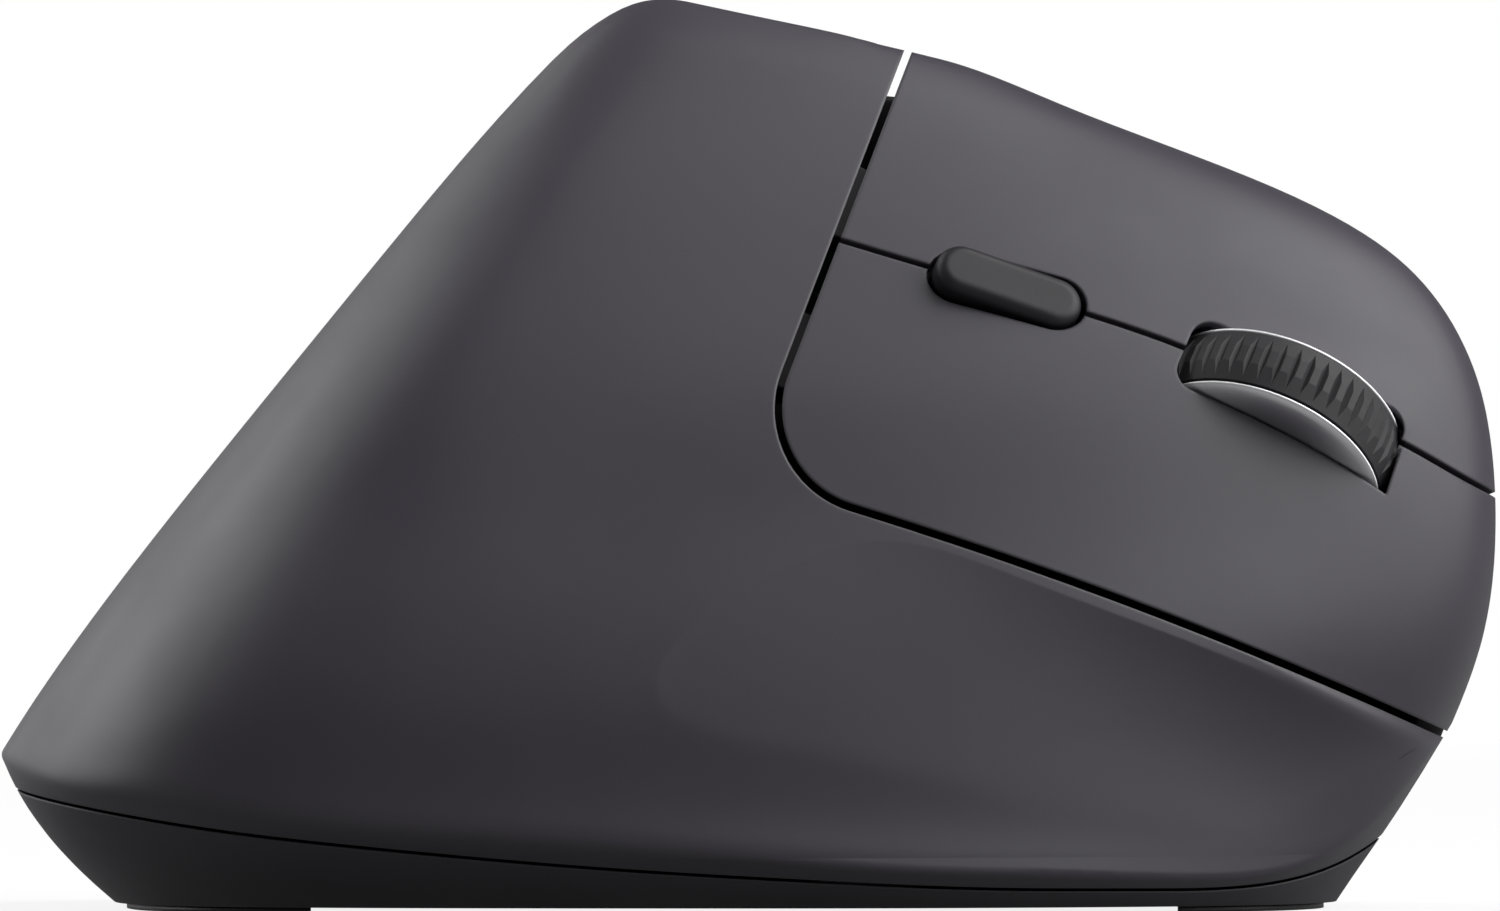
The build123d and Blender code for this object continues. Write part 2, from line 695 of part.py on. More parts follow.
left_click = click_button(left_wall, LEFT_ARM_V, LEFT_ARM_WIDTH, LEFT_SWITCH_UV)
right_click = click_button(right_wall, RIGHT_ARM_V, RIGHT_ARM_WIDTH, RIGHT_SWITCH_UV)
save("left_click_button", left_click)
save("right_click_button", right_click)
pin_low = LUG_LOW_V - LUG_LOW_WIDTH / 2
pin_high = LEFT_ARM_V + LEFT_ARM_WIDTH / 2 + PARTING_GAP
hinge_pin = bar(DECK, HINGE_U, (pin_low + pin_high) / 2, HINGE_W, HINGE_PIN, pin_high - pin_low)
save("button_hinge_pin", hinge_pin)

# Scroll wheel: ribbed tyre, core, two bright rims and the axle
WHEEL = Plane(
    origin=DECK.from_local_coords(Vector(0, 0, AXLE_W)), x_dir=DECK.x_dir, z_dir=DECK.y_dir
)


def ring(plane, low, high, outer, inner):
    """Returns a flat ring between two heights."""
    body_ring = rod(plane, 0, 0, low, outer, high - low)
    return body_ring - rod(plane, 0, 0, low - WALL, inner, high - low + WALL * 2)


half_tyre = TYRE_WIDTH / 2
tyre_bore = WHEEL_RADIUS - TYRE_DEPTH
rim_radius = WHEEL_RADIUS - TYRE_CROWN
tyre = ring(WHEEL, -TYRE_FLAT / 2, TYRE_FLAT / 2, WHEEL_RADIUS, tyre_bore)
shoulder_width = half_tyre - TYRE_FLAT / 2
for side in (-1, 1):
    low, high = (rim_radius, WHEEL_RADIUS) if side < 0 else (WHEEL_RADIUS, rim_radius)
    shoulder = Cone(low, high, shoulder_width) - Cylinder(tyre_bore, shoulder_width)
    middle = side * (TYRE_FLAT + shoulder_width) / 2
    tyre = tyre + WHEEL.location * Pos(0, 0, middle) * shoulder
groove = WHEEL.location * Pos(WHEEL_RADIUS + GROOVE_SINK, 0, 0) * Rot(0, 0, GROOVE_TURN) * Box(
    GROOVE_SIZE, GROOVE_SIZE, TYRE_WIDTH
)
axle_line = Axis(WHEEL.origin, WHEEL.z_dir)
grooves = [groove.rotate(axle_line, 360 * step / GROOVE_COUNT) for step in range(GROOVE_COUNT)]
save("wheel_tyre", tyre - grooves)
core = ring(WHEEL, -half_tyre, half_tyre, tyre_bore, tyre_bore - LIP_DEPTH)
core = core + ring(WHEEL, -WEB_WIDTH / 2, WEB_WIDTH / 2, tyre_bore, AXLE_RADIUS)
core = core + ring(WHEEL, -half_tyre, half_tyre, HUB_RADIUS, AXLE_RADIUS)
save("wheel_core", core)


def rim(side):
    """Returns a dished bright disc for one side of the wheel."""
    low, high = sorted((side * half_tyre, side * (half_tyre + RIM_WIDTH)))
    disc = ring(WHEEL, low, high, rim_radius, RIM_BORE)
    dish_start = side * (half_tyre + RIM_WIDTH)
    slope = Cone(rim_radius - RIM_DISH_EDGE, RIM_BORE, RIM_DISH)
    turn = Rot(0, 0, 0) if side < 0 else Rot(180, 0, 0)
    middle = dish_start - side * RIM_DISH / 2
    return disc - WHEEL.location * Pos(0, 0, middle) * turn * slope


save("wheel_rim_upper", rim(1))
save("wheel_rim_lower", rim(-1))
axle_low = -(CHEEK_INNER + CHEEK_THICK)
axle_high = CHEEK_INNER + CHEEK_THICK
axle = rod(WHEEL, 0, 0, axle_low, AXLE_RADIUS, axle_high - axle_low)
hex_end = WHEEL.location * Pos(0, 0, axle_low - ENCODER_THICK) * extrude(
    RegularPolygon(HEX_RADIUS, 6), amount=ENCODER_THICK
)
save("wheel_axle", axle + hex_end)

# Wheel carriage, which slides on two frame pins
cheeks = []
for side in (-1, 1):
    near, far = side * CHEEK_INNER, side * (CHEEK_INNER + CHEEK_THICK)
    cheek = ranged(
        DECK, (CHEEK_BACK, CHEEK_FRONT), (min(near, far), max(near, far)), (CHEEK_LOW, CHEEK_HIGH)
    )
    cheeks.append(cheek)
bridge_low = DECK_BOARD_TOP + WHEEL_TACT_HEIGHT + TACT_PLUNGER + TACT_GAP
bridge = ranged(
    DECK, (BRIDGE_BACK, CHEEK_BACK), (-BRIDGE_WIDTH / 2, BRIDGE_WIDTH / 2), (bridge_low, CHEEK_HIGH)
)
carriage = joined([bridge] + cheeks)
carriage = carriage - rod(WHEEL, 0, 0, axle_low * 2, AXLE_RADIUS + RUN_FIT, axle_high * 4)
for side in (-1, 1):
    carriage = carriage - rod(
        DECK, GUIDE_U, side * GUIDE_V, -REACH / 2, GUIDE_RADIUS + RUN_FIT, REACH
    )
save("wheel_carriage", carriage)
encoder_v = -(CHEEK_INNER + CHEEK_THICK + ENCODER_THICK / 2)
encoder = ranged(
    DECK, (-ENCODER_LENGTH / 2, ENCODER_LENGTH / 2),
    (encoder_v - ENCODER_THICK / 2, encoder_v + ENCODER_THICK / 2), (ENCODER_LOW, ENCODER_HIGH),
)
encoder = encoder - rod(WHEEL, 0, 0, axle_low - WALL * 2, HEX_RADIUS + RUN_FIT, WALL * 3)
save("wheel_encoder", encoder)

# Mode button between the two main buttons
mode_low = -MODE_SKIRT
mode_cap = pill(MODE, MODE_LENGTH, MODE_WIDTH, mode_low, MODE_PROUD)
mode_top = mode_cap.faces().sort_by(Axis(MODE.origin, MODE.z_dir))[-1]
mode_cap = mode_cap.fillet(MODE_ROUND, mode_top.edges())
wing_low = mode_low - MODE_WING_THICK
mode_wing = slab(
    MODE, (MODE_LENGTH - MODE_TRIM, MODE_WING), MODE_CORNER, 0, 0, wing_low, mode_low
)
stem_low = wing_low - MODE_STEM_LENGTH
mode_stem = rod(MODE, 0, 0, stem_low, MODE_STEM, MODE_STEM_LENGTH)
mode_tact_height = MODE_W + stem_low - TACT_GAP - TACT_PLUNGER - DECK_BOARD_TOP
save("mode_button", mode_cap + mode_wing + mode_stem)
holder_top = MODE_W + mode_low - TACT_GAP
holder_hole = (MODE_LENGTH - MODE_TRIM + MODE_SLIDE * 2, MODE_WING + MODE_SLIDE * 2)
holder_size = (holder_hole[0] + POCKET_WALL * 2, holder_hole[1] + POCKET_WALL * 2)
holder_out = slab(
    MODE, holder_size, POCKET_WALL, 0, 0, DECK_BOARD_TOP - MODE_W, holder_top - MODE_W
)
holder_in = slab(MODE, holder_hole, MODE_CORNER, 0, 0, -REACH, REACH)
save("mode_button_holder", holder_out - holder_in)


def push_switch(plane, u, v, low, width, height):
    """Returns a small push switch with a round plunger on top."""
    case = block(plane, u, v, low, (width, width, height))
    return case + rod(plane, u, v, low + height, TACT_ROUND, TACT_PLUNGER)


save("mode_switch", push_switch(DECK, MODE_U, MODE_V, DECK_BOARD_TOP, TACT_SIZE, mode_tact_height))
save(
    "wheel_switch",
    push_switch(
        DECK, (BRIDGE_BACK + CHEEK_BACK) / 2, 0, DECK_BOARD_TOP, TACT_SMALL, WHEEL_TACT_HEIGHT
    ),
)


def micro_switch(uv):
    """Returns a button's micro switch with its stem."""
    case = block(DECK, uv[0], uv[1], DECK_BOARD_TOP, SWITCH_SIZE)
    top = DECK_BOARD_TOP + SWITCH_SIZE[2]
    stem = block(DECK, uv[0] + SWITCH_STEM_U, uv[1], top, SWITCH_STEM_SIZE)
    return case + stem


save("left_switch", micro_switch(LEFT_SWITCH_UV))
save("right_switch", micro_switch(RIGHT_SWITCH_UV))

# Board under the main buttons
deck_range = (DECK_BOARD_W, DECK_BOARD_TOP)
deck_board = ranged(DECK, (DECK_REAR, DECK_WAIST), (DECK_REAR_LOW, DECK_REAR_HIGH), deck_range)
deck_board = deck_board + ranged(
    DECK, (DECK_WAIST, DECK_FRONT), (DECK_ARM_LOW, DECK_ARM_HIGH), deck_range
)
deck_board = deck_board + ranged(
    DECK, (RIGHT_SWITCH_UV[0] - SWITCH_SIZE[0] + SWITCH_STEM_U, DECK_WAIST),
    (DECK_ARM_LOW, DECK_REAR_LOW), deck_range,
)
deck_board = deck_board + ranged(
    DECK, (DECK_EAR_BACK, DECK_WAIST), (DECK_REAR_LOW, DECK_EAR_HIGH), deck_range
)
notch_range = (-NOTCH_WIDTH / 2, NOTCH_WIDTH / 2)
deck_board = deck_board - ranged(DECK, (-NOTCH_REACH, REACH), notch_range, deck_range)
for side in (-1, 1):
    deck_board = deck_board - rod(DECK, GUIDE_U, side * GUIDE_V, -REACH / 2, PIN_HOLE, REACH)
for u, v in STANDOFF_UV:
    deck_board = deck_board - rod(DECK, u, v, -REACH / 2, PCB_SCREW_SHANK + RUN_FIT, REACH)
save("button_board", deck_board)

# Frame that carries the deck board, the guide pins and the hinge
plate_range = (PLATE_W, PLATE_W + PLATE_THICK)
plate = ranged(DECK, (PLATE_REAR, DECK_WAIST), (PLATE_LOW, PLATE_REAR_HIGH), plate_range)
plate = plate + ranged(DECK, (DECK_WAIST, PLATE_ARM_FRONT), (PLATE_LOW, PLATE_ARM_HIGH), plate_range)
plate = plate + ranged(
    DECK, (DECK_WAIST - LEG_RADIUS * 2, PLATE_TOP_FRONT), (PLATE_ARM_HIGH, PLATE_TOP_HIGH), plate_range
)
plate = plate - ranged(DECK, (PLATE_NOTCH_BACK, REACH), notch_range, plate_range)
standoff_low = PLATE_W + PLATE_THICK
standoffs = [
    rod(DECK, u, v, standoff_low, STANDOFF_RADIUS, DECK_BOARD_W - standoff_low)
    for u, v in STANDOFF_UV
]
guides = [
    rod(DECK, GUIDE_U, side * GUIDE_V, standoff_low, GUIDE_RADIUS, CHEEK_HIGH - standoff_low)
    for side in (-1, 1)
]
lugs = []
for lug_v, lug_width in ((LUG_LOW_V, LUG_LOW_WIDTH), (LUG_HIGH_V, LUG_HIGH_WIDTH)):
    lug_range = (lug_v - lug_width / 2, lug_v + lug_width / 2)
    lugs.append(ranged(
        DECK, (HINGE_U - HINGE_EYE, HINGE_U + HINGE_EYE), lug_range, (standoff_low, HINGE_W)
    ))
    lugs.append(bar(DECK, HINGE_U, lug_v, HINGE_W, HINGE_EYE, lug_width))
legs = []
under_plate = ranged(DECK, (-REACH, REACH), (-REACH, REACH), (-REACH, PLATE_W + PLATE_THICK / 2))
for x, y in LEG_XY:
    leg = rod(Plane.XY, x, y, PAD_HIGH, LEG_RADIUS, HEIGHT)
    legs.append(leg & under_plate)
frame = joined([plate] + standoffs + guides + lugs + legs)
frame = frame - room
frame = frame - bar(DECK, HINGE_U, (pin_low + pin_high) / 2, HINGE_W, HINGE_PIN, REACH)
for x, y in LEG_XY:
    frame = frame - rod(Plane.XY, x, y, PAD_HIGH, SCREW_SHANK + RUN_FIT, SCREW_LENGTH)
for u, v in STANDOFF_UV:
    frame = frame - rod(DECK, u, v, -REACH / 2, PCB_SCREW_SHANK + RUN_FIT, REACH)
save("inner_frame", frame)

# Base tray with screw pads, bosses, battery bay and receiver pocket
pads = LEG_XY + SHELL_SCREW_XY + THUMB_SCREW_XY
screw_top = FOOT + PAD_SINK
base_extra = [rod(Plane.XY, x, y, FOOT, PAD_RADIUS, PAD_HIGH - FOOT) for x, y in pads]
main_corners = [
    (MAIN_BACK + MAIN_INSET, MAIN_LEFT - MAIN_INSET),
    (MAIN_FRONT - MAIN_INSET, MAIN_LEFT - MAIN_INSET),
    (MAIN_BACK + MAIN_INSET, MAIN_RIGHT + MAIN_INSET),
    (MAIN_FRONT - MAIN_INSET, MAIN_RIGHT + MAIN_INSET),
]
base_extra += [rod(Plane.XY, x, y, FOOT, BOSS_RADIUS, MAIN_LOW - FOOT) for x, y in main_corners]
cell_front = CELL_BACK + CELL_LENGTH + CELL_NUB
bay_back = CELL_BACK - BAY_SPRING
bay_front = cell_front + BAY_PLATE
bay_half = CELL_RADIUS + BAY_CLEAR
bay_outer_x = (bay_back - BAY_END, bay_front + BAY_END)
bay_outer = ranged(
    Plane.XY, bay_outer_x, (CELL_Y - bay_half - BAY_SIDE, CELL_Y + bay_half + BAY_SIDE), (FOOT, BAY_HIGH)
)
bay_inner = ranged(
    Plane.XY, (bay_back, bay_front), (CELL_Y - bay_half, CELL_Y + bay_half), (-HEIGHT, HEIGHT)
)
door_middle = (bay_back + bay_front) / 2
door_hole = slab(
    Plane.XY, (DOOR_LENGTH + DOOR_GAP * 2, DOOR_WIDTH + DOOR_GAP * 2), DOOR_CORNER,
    door_middle, CELL_Y, -HEIGHT, floor_top,
)
pocket_length = RECEIVER_BODY_SIZE[0] + RECEIVER_PLUG_SIZE[0] + POCKET_ROOM * 2
pocket_width = RECEIVER_BODY_SIZE[1] + POCKET_ROOM * 2
pocket_top = RECEIVER_Z + RECEIVER_BODY_SIZE[2] + POCKET_ROOM
pocket_outer = block(
    Plane.XY, RECEIVER_X, RECEIVER_Y, FOOT,
    (pocket_length + POCKET_WALL * 2, pocket_width + POCKET_WALL * 2, pocket_top + POCKET_WALL - FOOT),
)
pocket_inner = block(
    Plane.XY, RECEIVER_X, RECEIVER_Y, -HEIGHT, (pocket_length, pocket_width, pocket_top + HEIGHT)
)
sensor_window = block(Plane.XY, SENSOR_XY[0], SENSOR_XY[1], -HEIGHT, LENS_WINDOW + (HEIGHT * 2,))
nub_slot = block(
    Plane.XY, POWER_XY[0] + POWER_TRAVEL / 2, POWER_XY[1], -HEIGHT,
    (POWER_NUB_SIZE[0] + POWER_TRAVEL + SEAM_GAP, POWER_SLOT_WIDTH, HEIGHT * 2),
)
base = base_wall + joined([bay_outer - bay_inner, pocket_outer] + base_extra)
base = base - pocket_inner - door_hole - sensor_window - nub_slot
for x, y in pads:
    base = base - rod(Plane.XY, x, y, -HEIGHT, SCREW_HEAD_RADIUS + POCKET_ROOM, HEIGHT + screw_top)
    base = base - rod(Plane.XY, x, y, 0, SCREW_SHANK + RUN_FIT, HEIGHT)
for x, y in main_corners:
    base = base - rod(Plane.XY, x, y, floor_top, PCB_SCREW_SHANK + RUN_FIT, HEIGHT)
save("base_shell", base)

# Shell columns that the housing screws run up into
keep = cavity & above_base


def column(x, y, rib_to):
    """Returns a screw column with a rib out to the nearest wall."""
    post = rod(Plane.XY, x, y, PAD_HIGH, COLUMN_RADIUS, HEIGHT)
    if rib_to is None:
        return post
    rib_range = (min(y, rib_to), max(y, rib_to))
    rib = ranged(
        Plane.XY, (x - RIB_THICK / 2, x + RIB_THICK / 2), rib_range, (PAD_HIGH + WALL, PAD_HIGH * 4)
    )
    short = rod(Plane.XY, x, y, PAD_HIGH, COLUMN_RADIUS, PAD_HIGH * 3)
    return short + rib


def with_columns(shell, sites, rib_to):
    """Returns a shell with its screw columns and their pilot holes."""
    for x, y in sites:
        shell = shell + (column(x, y, rib_to) & keep)
    for x, y in sites:
        shell = shell - rod(Plane.XY, x, y, PAD_HIGH - WALL, SCREW_SHANK + RUN_FIT, SCREW_LENGTH + WALL)
    return shell


outer = with_columns(outer_wall, SHELL_SCREW_XY[:2], None)
outer = with_columns(outer, SHELL_SCREW_XY[2:], -WIDTH / 2)
save("outer_shell", outer)

# Thumb shell with the side buttons
thumb = with_columns(thumb_wall, THUMB_SCREW_XY, None)


def side_outline(centre_share, grow):
    """Returns a side button's outline pushed through the thumb wall."""
    point = side_point(centre_share)
    outline = RectangleRounded(SIDE_LENGTH + grow * 2, SIDE_HEIGHT + grow * 2, SIDE_CORNER + grow)
    solid = extrude(outline, amount=WIDTH)
    return Pos(point.X, 0, point.Z) * Rot(0, SIDE_TILT, 0) * Rot(-90, 0, 0) * solid


side_skin = wall & plan_region(PARTING_GAP / 2, True)
side_tacts = []
side_skins = [
    skin_hit(share[0] * LENGTH, share[1] * HEIGHT, 1).Y for share in SIDE_CENTRE_SHARES
]
side_board_low = min(side_skins) - SIDE_BOARD_DROP
side_board_top = side_board_low + SIDE_BOARD_THICK
side_middle = (side_point(SIDE_CENTRE_SHARES[0]) + side_point(SIDE_CENTRE_SHARES[1])) / 2
side_bosses = [(side_middle.X + x, side_middle.Z + z) for x, z in SIDE_BOSS_SHIFTS]
for name, share in zip(("back_button", "forward_button"), SIDE_CENTRE_SHARES):
    thumb = thumb - side_outline(share, SIDE_GAP)
    cap = Pos(0, SIDE_PROUD, 0) * (side_skin & side_outline(share, 0))
    spot = side_point(share)
    post_low = side_board_top + SIDE_TACT_HEIGHT + TACT_PLUNGER + TACT_GAP
    reach = skin_hit(spot.X, spot.Z, 1).Y - WALL / 2 - post_low
    cap = cap + Pos(spot.X, post_low + reach / 2, spot.Z) * Box(SIDE_POST, reach, SIDE_POST)
    save(name, cap)
    tact = Pos(spot.X, side_board_top + SIDE_TACT_HEIGHT / 2, spot.Z) * Box(
        TACT_SMALL, SIDE_TACT_HEIGHT, TACT_SMALL
    )
    knob = Pos(spot.X, side_board_top + SIDE_TACT_HEIGHT + TACT_PLUNGER / 2, spot.Z) * Rot(90, 0, 0)
    side_tacts.append(tact + knob * Cylinder(TACT_ROUND, TACT_PLUNGER))
side_far = WIDTH / 4
for x, z in side_bosses:
    boss = Pos(x, side_board_top + side_far / 2, z) * Rot(90, 0, 0) * Cylinder(SIDE_BOSS_RADIUS, side_far)
    thumb = thumb + (boss & cavity)
    thumb = thumb - Pos(x, side_board_top, z) * Rot(90, 0, 0) * Cylinder(
        PCB_SCREW_SHANK + RUN_FIT, PCB_SCREW_LENGTH * 2
    )
save("thumb_shell", thumb)
save("side_switches", *side_tacts)
side_mid = side_board_low + SIDE_BOARD_THICK / 2


def side_plate(shift, size):
    """Returns a part of the side board, placed from the middle of the two thumb buttons."""
    place = Pos(side_middle.X + shift[0], side_mid, side_middle.Z + shift[1])
    return place * Box(size[0], SIDE_BOARD_THICK, size[1])


side_board = side_plate(SIDE_BOARD_SHIFT, SIDE_BOARD_SIZE) + side_plate(
    SIDE_TONGUE_SHIFT, SIDE_TONGUE_SIZE
)
for x, z in side_bosses:
    side_board = side_board - Pos(x, side_mid, z) * Rot(90, 0, 0) * Cylinder(
        PCB_SCREW_SHANK + RUN_FIT, WALL
    )
save("side_board", side_board)

# Main board with its chip, socket, sensor, lens and power switch
main_top = MAIN_LOW + BOARD_THICK
main_board = ranged(
    Plane.XY, (MAIN_BACK, MAIN_FRONT), (MAIN_RIGHT, MAIN_LEFT), (MAIN_LOW, main_top)
)
main_board = main_board - block(
    Plane.XY, SENSOR_XY[0], SENSOR_XY[1], 0, SENSOR_HOLE + (HEIGHT,)
)
for x, y in main_corners:
    main_board = main_board - rod(Plane.XY, x, y, 0, PCB_SCREW_SHANK + RUN_FIT, HEIGHT)
save("main_board", main_board)
save("optical_sensor", block(Plane.XY, SENSOR_XY[0], SENSOR_XY[1], main_top, SENSOR_SIZE))
lens = block(Plane.XY, SENSOR_XY[0], SENSOR_XY[1], floor_top, LENS_SIZE)
lens = lens + rod(
    Plane.XY, SENSOR_XY[0], SENSOR_XY[1], floor_top + LENS_SIZE[2], LENS_BARREL,
    main_top - floor_top - LENS_SIZE[2],
)
save("sensor_lens", lens)
save("controller_chip", block(Plane.XY, CHIP_XY[0], CHIP_XY[1], main_top, CHIP_SIZE))
header = block(Plane.XY, HEADER_XY[0], HEADER_XY[1], main_top, HEADER_SIZE)
save("cable_header", header)
power_body = block(
    Plane.XY, POWER_XY[0] + POWER_TRAVEL / 2, POWER_XY[1], MAIN_LOW - POWER_BODY_SIZE[2],
    POWER_BODY_SIZE,
)
save("power_switch_body", power_body)
power_knob = block(Plane.XY, POWER_XY[0], POWER_XY[1], POWER_KNOB_Z, POWER_KNOB_SIZE)
power_knob = power_knob + block(
    Plane.XY, POWER_XY[0], POWER_XY[1], POWER_KNOB_Z - POWER_NUB_SIZE[2], POWER_NUB_SIZE
)
save("power_slider", power_knob)

# Battery, its contacts and its door
cell_turn = Plane(origin=(CELL_BACK, CELL_Y, CELL_Z), x_dir=(0, 1, 0), z_dir=(1, 0, 0))
cell = rod(cell_turn, 0, 0, 0, CELL_RADIUS, CELL_LENGTH)
save("battery_cell", cell + rod(cell_turn, 0, 0, CELL_LENGTH, CELL_NUB_RADIUS, CELL_NUB))
contact_size = (BAY_PLATE / 3, CELL_RADIUS, CELL_RADIUS)
positive = Pos(bay_front - contact_size[0] / 2, CELL_Y, CELL_Z) * Box(*contact_size)
save("battery_plate_contact", positive)
leaf_x = bay_back + contact_size[0]
leaf_tip = bay_back + BAY_SPRING - PARTING_GAP
leaf_plane = Plane(
    origin=(0, CELL_Y + LEAF_WIDTH / 2, CELL_Z), x_dir=(1, 0, 0), z_dir=(0, -1, 0)
)
leaf_end = LEAF_HALF - LEAF_THICK
leaf_outline = [
    Edge.make_three_point_arc((leaf_x, -LEAF_HALF), (leaf_tip, 0), (leaf_x, LEAF_HALF)),
    Edge.make_line((leaf_x, LEAF_HALF), (leaf_x, leaf_end)),
    Edge.make_three_point_arc((leaf_x, leaf_end), (leaf_tip - LEAF_THICK, 0), (leaf_x, -leaf_end)),
    Edge.make_line((leaf_x, -leaf_end), (leaf_x, -LEAF_HALF)),
]
leaf = leaf_plane.location * extrude(Face(Wire(leaf_outline)), amount=LEAF_WIDTH)
back_plate = Pos(bay_back + contact_size[0] / 2, CELL_Y, CELL_Z) * Box(*contact_size)
save("battery_spring_contact", back_plate + leaf)
door = slab(
    Plane.XY, (DOOR_LENGTH, DOOR_WIDTH), DOOR_CORNER, door_middle, CELL_Y, FOOT, floor_top
)
for side_x in (-1, 1):
    for side_y in (-1, 1):
        tab_x = door_middle + side_x * DOOR_TAB_X
        door = door + block(Plane.XY, tab_x, CELL_Y + side_y * DOOR_TAB_Y, FOOT, DOOR_TAB_SIZE)
save("battery_door", door)

# Receiver in its pocket
body_length, body_width, body_height = RECEIVER_BODY_SIZE
plug_length, plug_width, plug_height = RECEIVER_PLUG_SIZE
receiver_back = RECEIVER_X - (body_length + plug_length) / 2
receiver = block(
    Plane.XY, receiver_back + body_length / 2, RECEIVER_Y, RECEIVER_Z, RECEIVER_BODY_SIZE
)
plug_low = RECEIVER_Z + (body_height - plug_height) / 2
receiver = receiver + block(
    Plane.XY, receiver_back + body_length + plug_length / 2, RECEIVER_Y, plug_low, RECEIVER_PLUG_SIZE
)
save("usb_receiver", receiver)

# Low friction glides under the base
sole = undercut_ring(UNDERCUT_SHARES[0], GLIDE_INSET, 0)
sole = extrude(Face(sole), amount=FOOT, dir=(0, 0, 1))
rear_glide = sole & ranged(
    Plane.XY, (-REACH, GLIDE_REAR_FRONT), (-REACH, REACH), (-FOOT, FOOT * 2)
)
rear_glide = rear_glide - Pos(GLIDE_SHIFT, 0, 0) * sole
front_glide = sole & ranged(
    Plane.XY, (GLIDE_FRONT_BACK, REACH), (-REACH, REACH), (-FOOT, FOOT * 2)
)
front_glide = front_glide - Pos(-GLIDE_SHIFT, 0, 0) * sole
save("rear_glide", rear_glide)
save("front_glide", front_glide)


# Screws
def screw(plane, u, v, seat, head_radius, head, shank, length):
    """Returns a pan head screw whose shank leaves the seat along the frame's normal."""
    top = rod(plane, u, v, seat - head, head_radius, head)
    return top + rod(plane, u, v, seat, shank, length)


housing = [
    screw(Plane.XY, x, y, screw_top, SCREW_HEAD_RADIUS, SCREW_HEAD, SCREW_SHANK, SCREW_LENGTH)
    for x, y in pads
]
save("housing_screws", *housing)


def small_screw(place, shank):
    """Returns a board screw that runs down its own frame from a seat at zero."""
    head = place * Pos(0, 0, PCB_SCREW_HEAD_HIGH / 2) * Cylinder(PCB_SCREW_HEAD, PCB_SCREW_HEAD_HIGH)
    return head + place * Pos(0, 0, -shank / 2) * Cylinder(PCB_SCREW_SHANK, shank)


small = [small_screw(Pos(x, y, main_top), PCB_SCREW_LENGTH) for x, y in main_corners]
small += [
    small_screw(DECK.location * Pos(u, v, DECK_BOARD_TOP), PCB_SCREW_LENGTH)
    for u, v in STANDOFF_UV
]
small += [
    small_screw(Pos(x, side_board_low, z) * Rot(90, 0, 0), PCB_SCREW_LENGTH)
    for x, z in side_bosses
]
save("board_screws", *small)
print("centre", CENTRE)
print("deck", DECK.origin, DECK.x_dir, DECK.y_dir, DECK.z_dir)
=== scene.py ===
"""Looks of an upright handshake-grip mouse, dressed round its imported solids."""
import json
import logging
import math
from dataclasses import dataclass, field
from enum import Enum
from typing import Any, Optional, Sequence

import bpy
from mathutils import Matrix, Vector


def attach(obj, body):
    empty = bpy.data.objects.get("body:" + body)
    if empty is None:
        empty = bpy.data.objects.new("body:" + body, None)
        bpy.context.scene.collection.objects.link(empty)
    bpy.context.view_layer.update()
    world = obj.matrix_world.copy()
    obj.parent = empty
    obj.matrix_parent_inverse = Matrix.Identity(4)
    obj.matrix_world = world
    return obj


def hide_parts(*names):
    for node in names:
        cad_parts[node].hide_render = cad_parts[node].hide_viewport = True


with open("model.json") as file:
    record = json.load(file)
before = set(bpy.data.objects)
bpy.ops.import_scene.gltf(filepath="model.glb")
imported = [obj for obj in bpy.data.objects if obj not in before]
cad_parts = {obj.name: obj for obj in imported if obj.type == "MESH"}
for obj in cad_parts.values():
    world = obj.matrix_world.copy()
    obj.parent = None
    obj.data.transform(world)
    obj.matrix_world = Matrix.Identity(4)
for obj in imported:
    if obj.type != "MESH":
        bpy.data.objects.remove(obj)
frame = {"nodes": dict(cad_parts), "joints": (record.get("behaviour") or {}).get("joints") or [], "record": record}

LOG = logging.getLogger("mouse")
MM = 0.001
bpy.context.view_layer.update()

# Most of a noise texture's values lie between these two
NOISE_LOW, NOISE_HIGH = 0.3, 0.7

# The sRGB curve: straight up to the knee, a power above it
SRGB_KNEE, SRGB_SLOPE, SRGB_LIFT, SRGB_POWER = 0.04045, 12.92, 0.055, 2.4
BYTE_TOP = 255

Colour = tuple[float, float, float, float]


def linear(hexed: str) -> Colour:
    """Turns an sRGB hex colour into linear values.

    Args:
        hexed: Six hex digits, such as "5c5a5f".

    Returns:
        Red, green, blue and an alpha of one.
    """
    shares = [int(hexed[place:place + 2], 16) / BYTE_TOP for place in (0, 2, 4)]
    red, green, blue = (
        share / SRGB_SLOPE if share <= SRGB_KNEE
        else ((share + SRGB_LIFT) / (1 + SRGB_LIFT)) ** SRGB_POWER
        for share in shares
    )
    return (red, green, blue, 1.0)


def add(
    tree: bpy.types.NodeTree,
    kind: str,
    settings: Optional[dict[str, Any]] = None,
    values: Optional[dict[Any, Any]] = None,
    links: Optional[dict[Any, bpy.types.NodeSocket]] = None,
) -> bpy.types.Node:
    """Adds one shader node with its settings, socket values and incoming links.

    Args:
        tree: The node tree that gets the node.
        kind: The node's type name.
        settings: Properties of the node, by name.
        values: Default values of its inputs, by socket name or number.
        links: Outputs that feed its inputs, by socket name or number.

    Returns:
        The new node.
    """
    node = tree.nodes.new(kind)
    for name, value in (settings or {}).items():
        setattr(node, name, value)
    for socket, value in (values or {}).items():
        node.inputs[socket].default_value = value
    for socket, output in (links or {}).items():
        tree.links.new(output, node.inputs[socket])
    return node


def fresh_material(name: str) -> tuple[bpy.types.Material, bpy.types.NodeTree]:
    """Makes an empty node material.

    Args:
        name: The material's name.

    Returns:
        The material and its node tree.
    """
    material = bpy.data.materials.new(name)
    material.use_nodes = True
    material.node_tree.nodes.clear()
    return material, material.node_tree


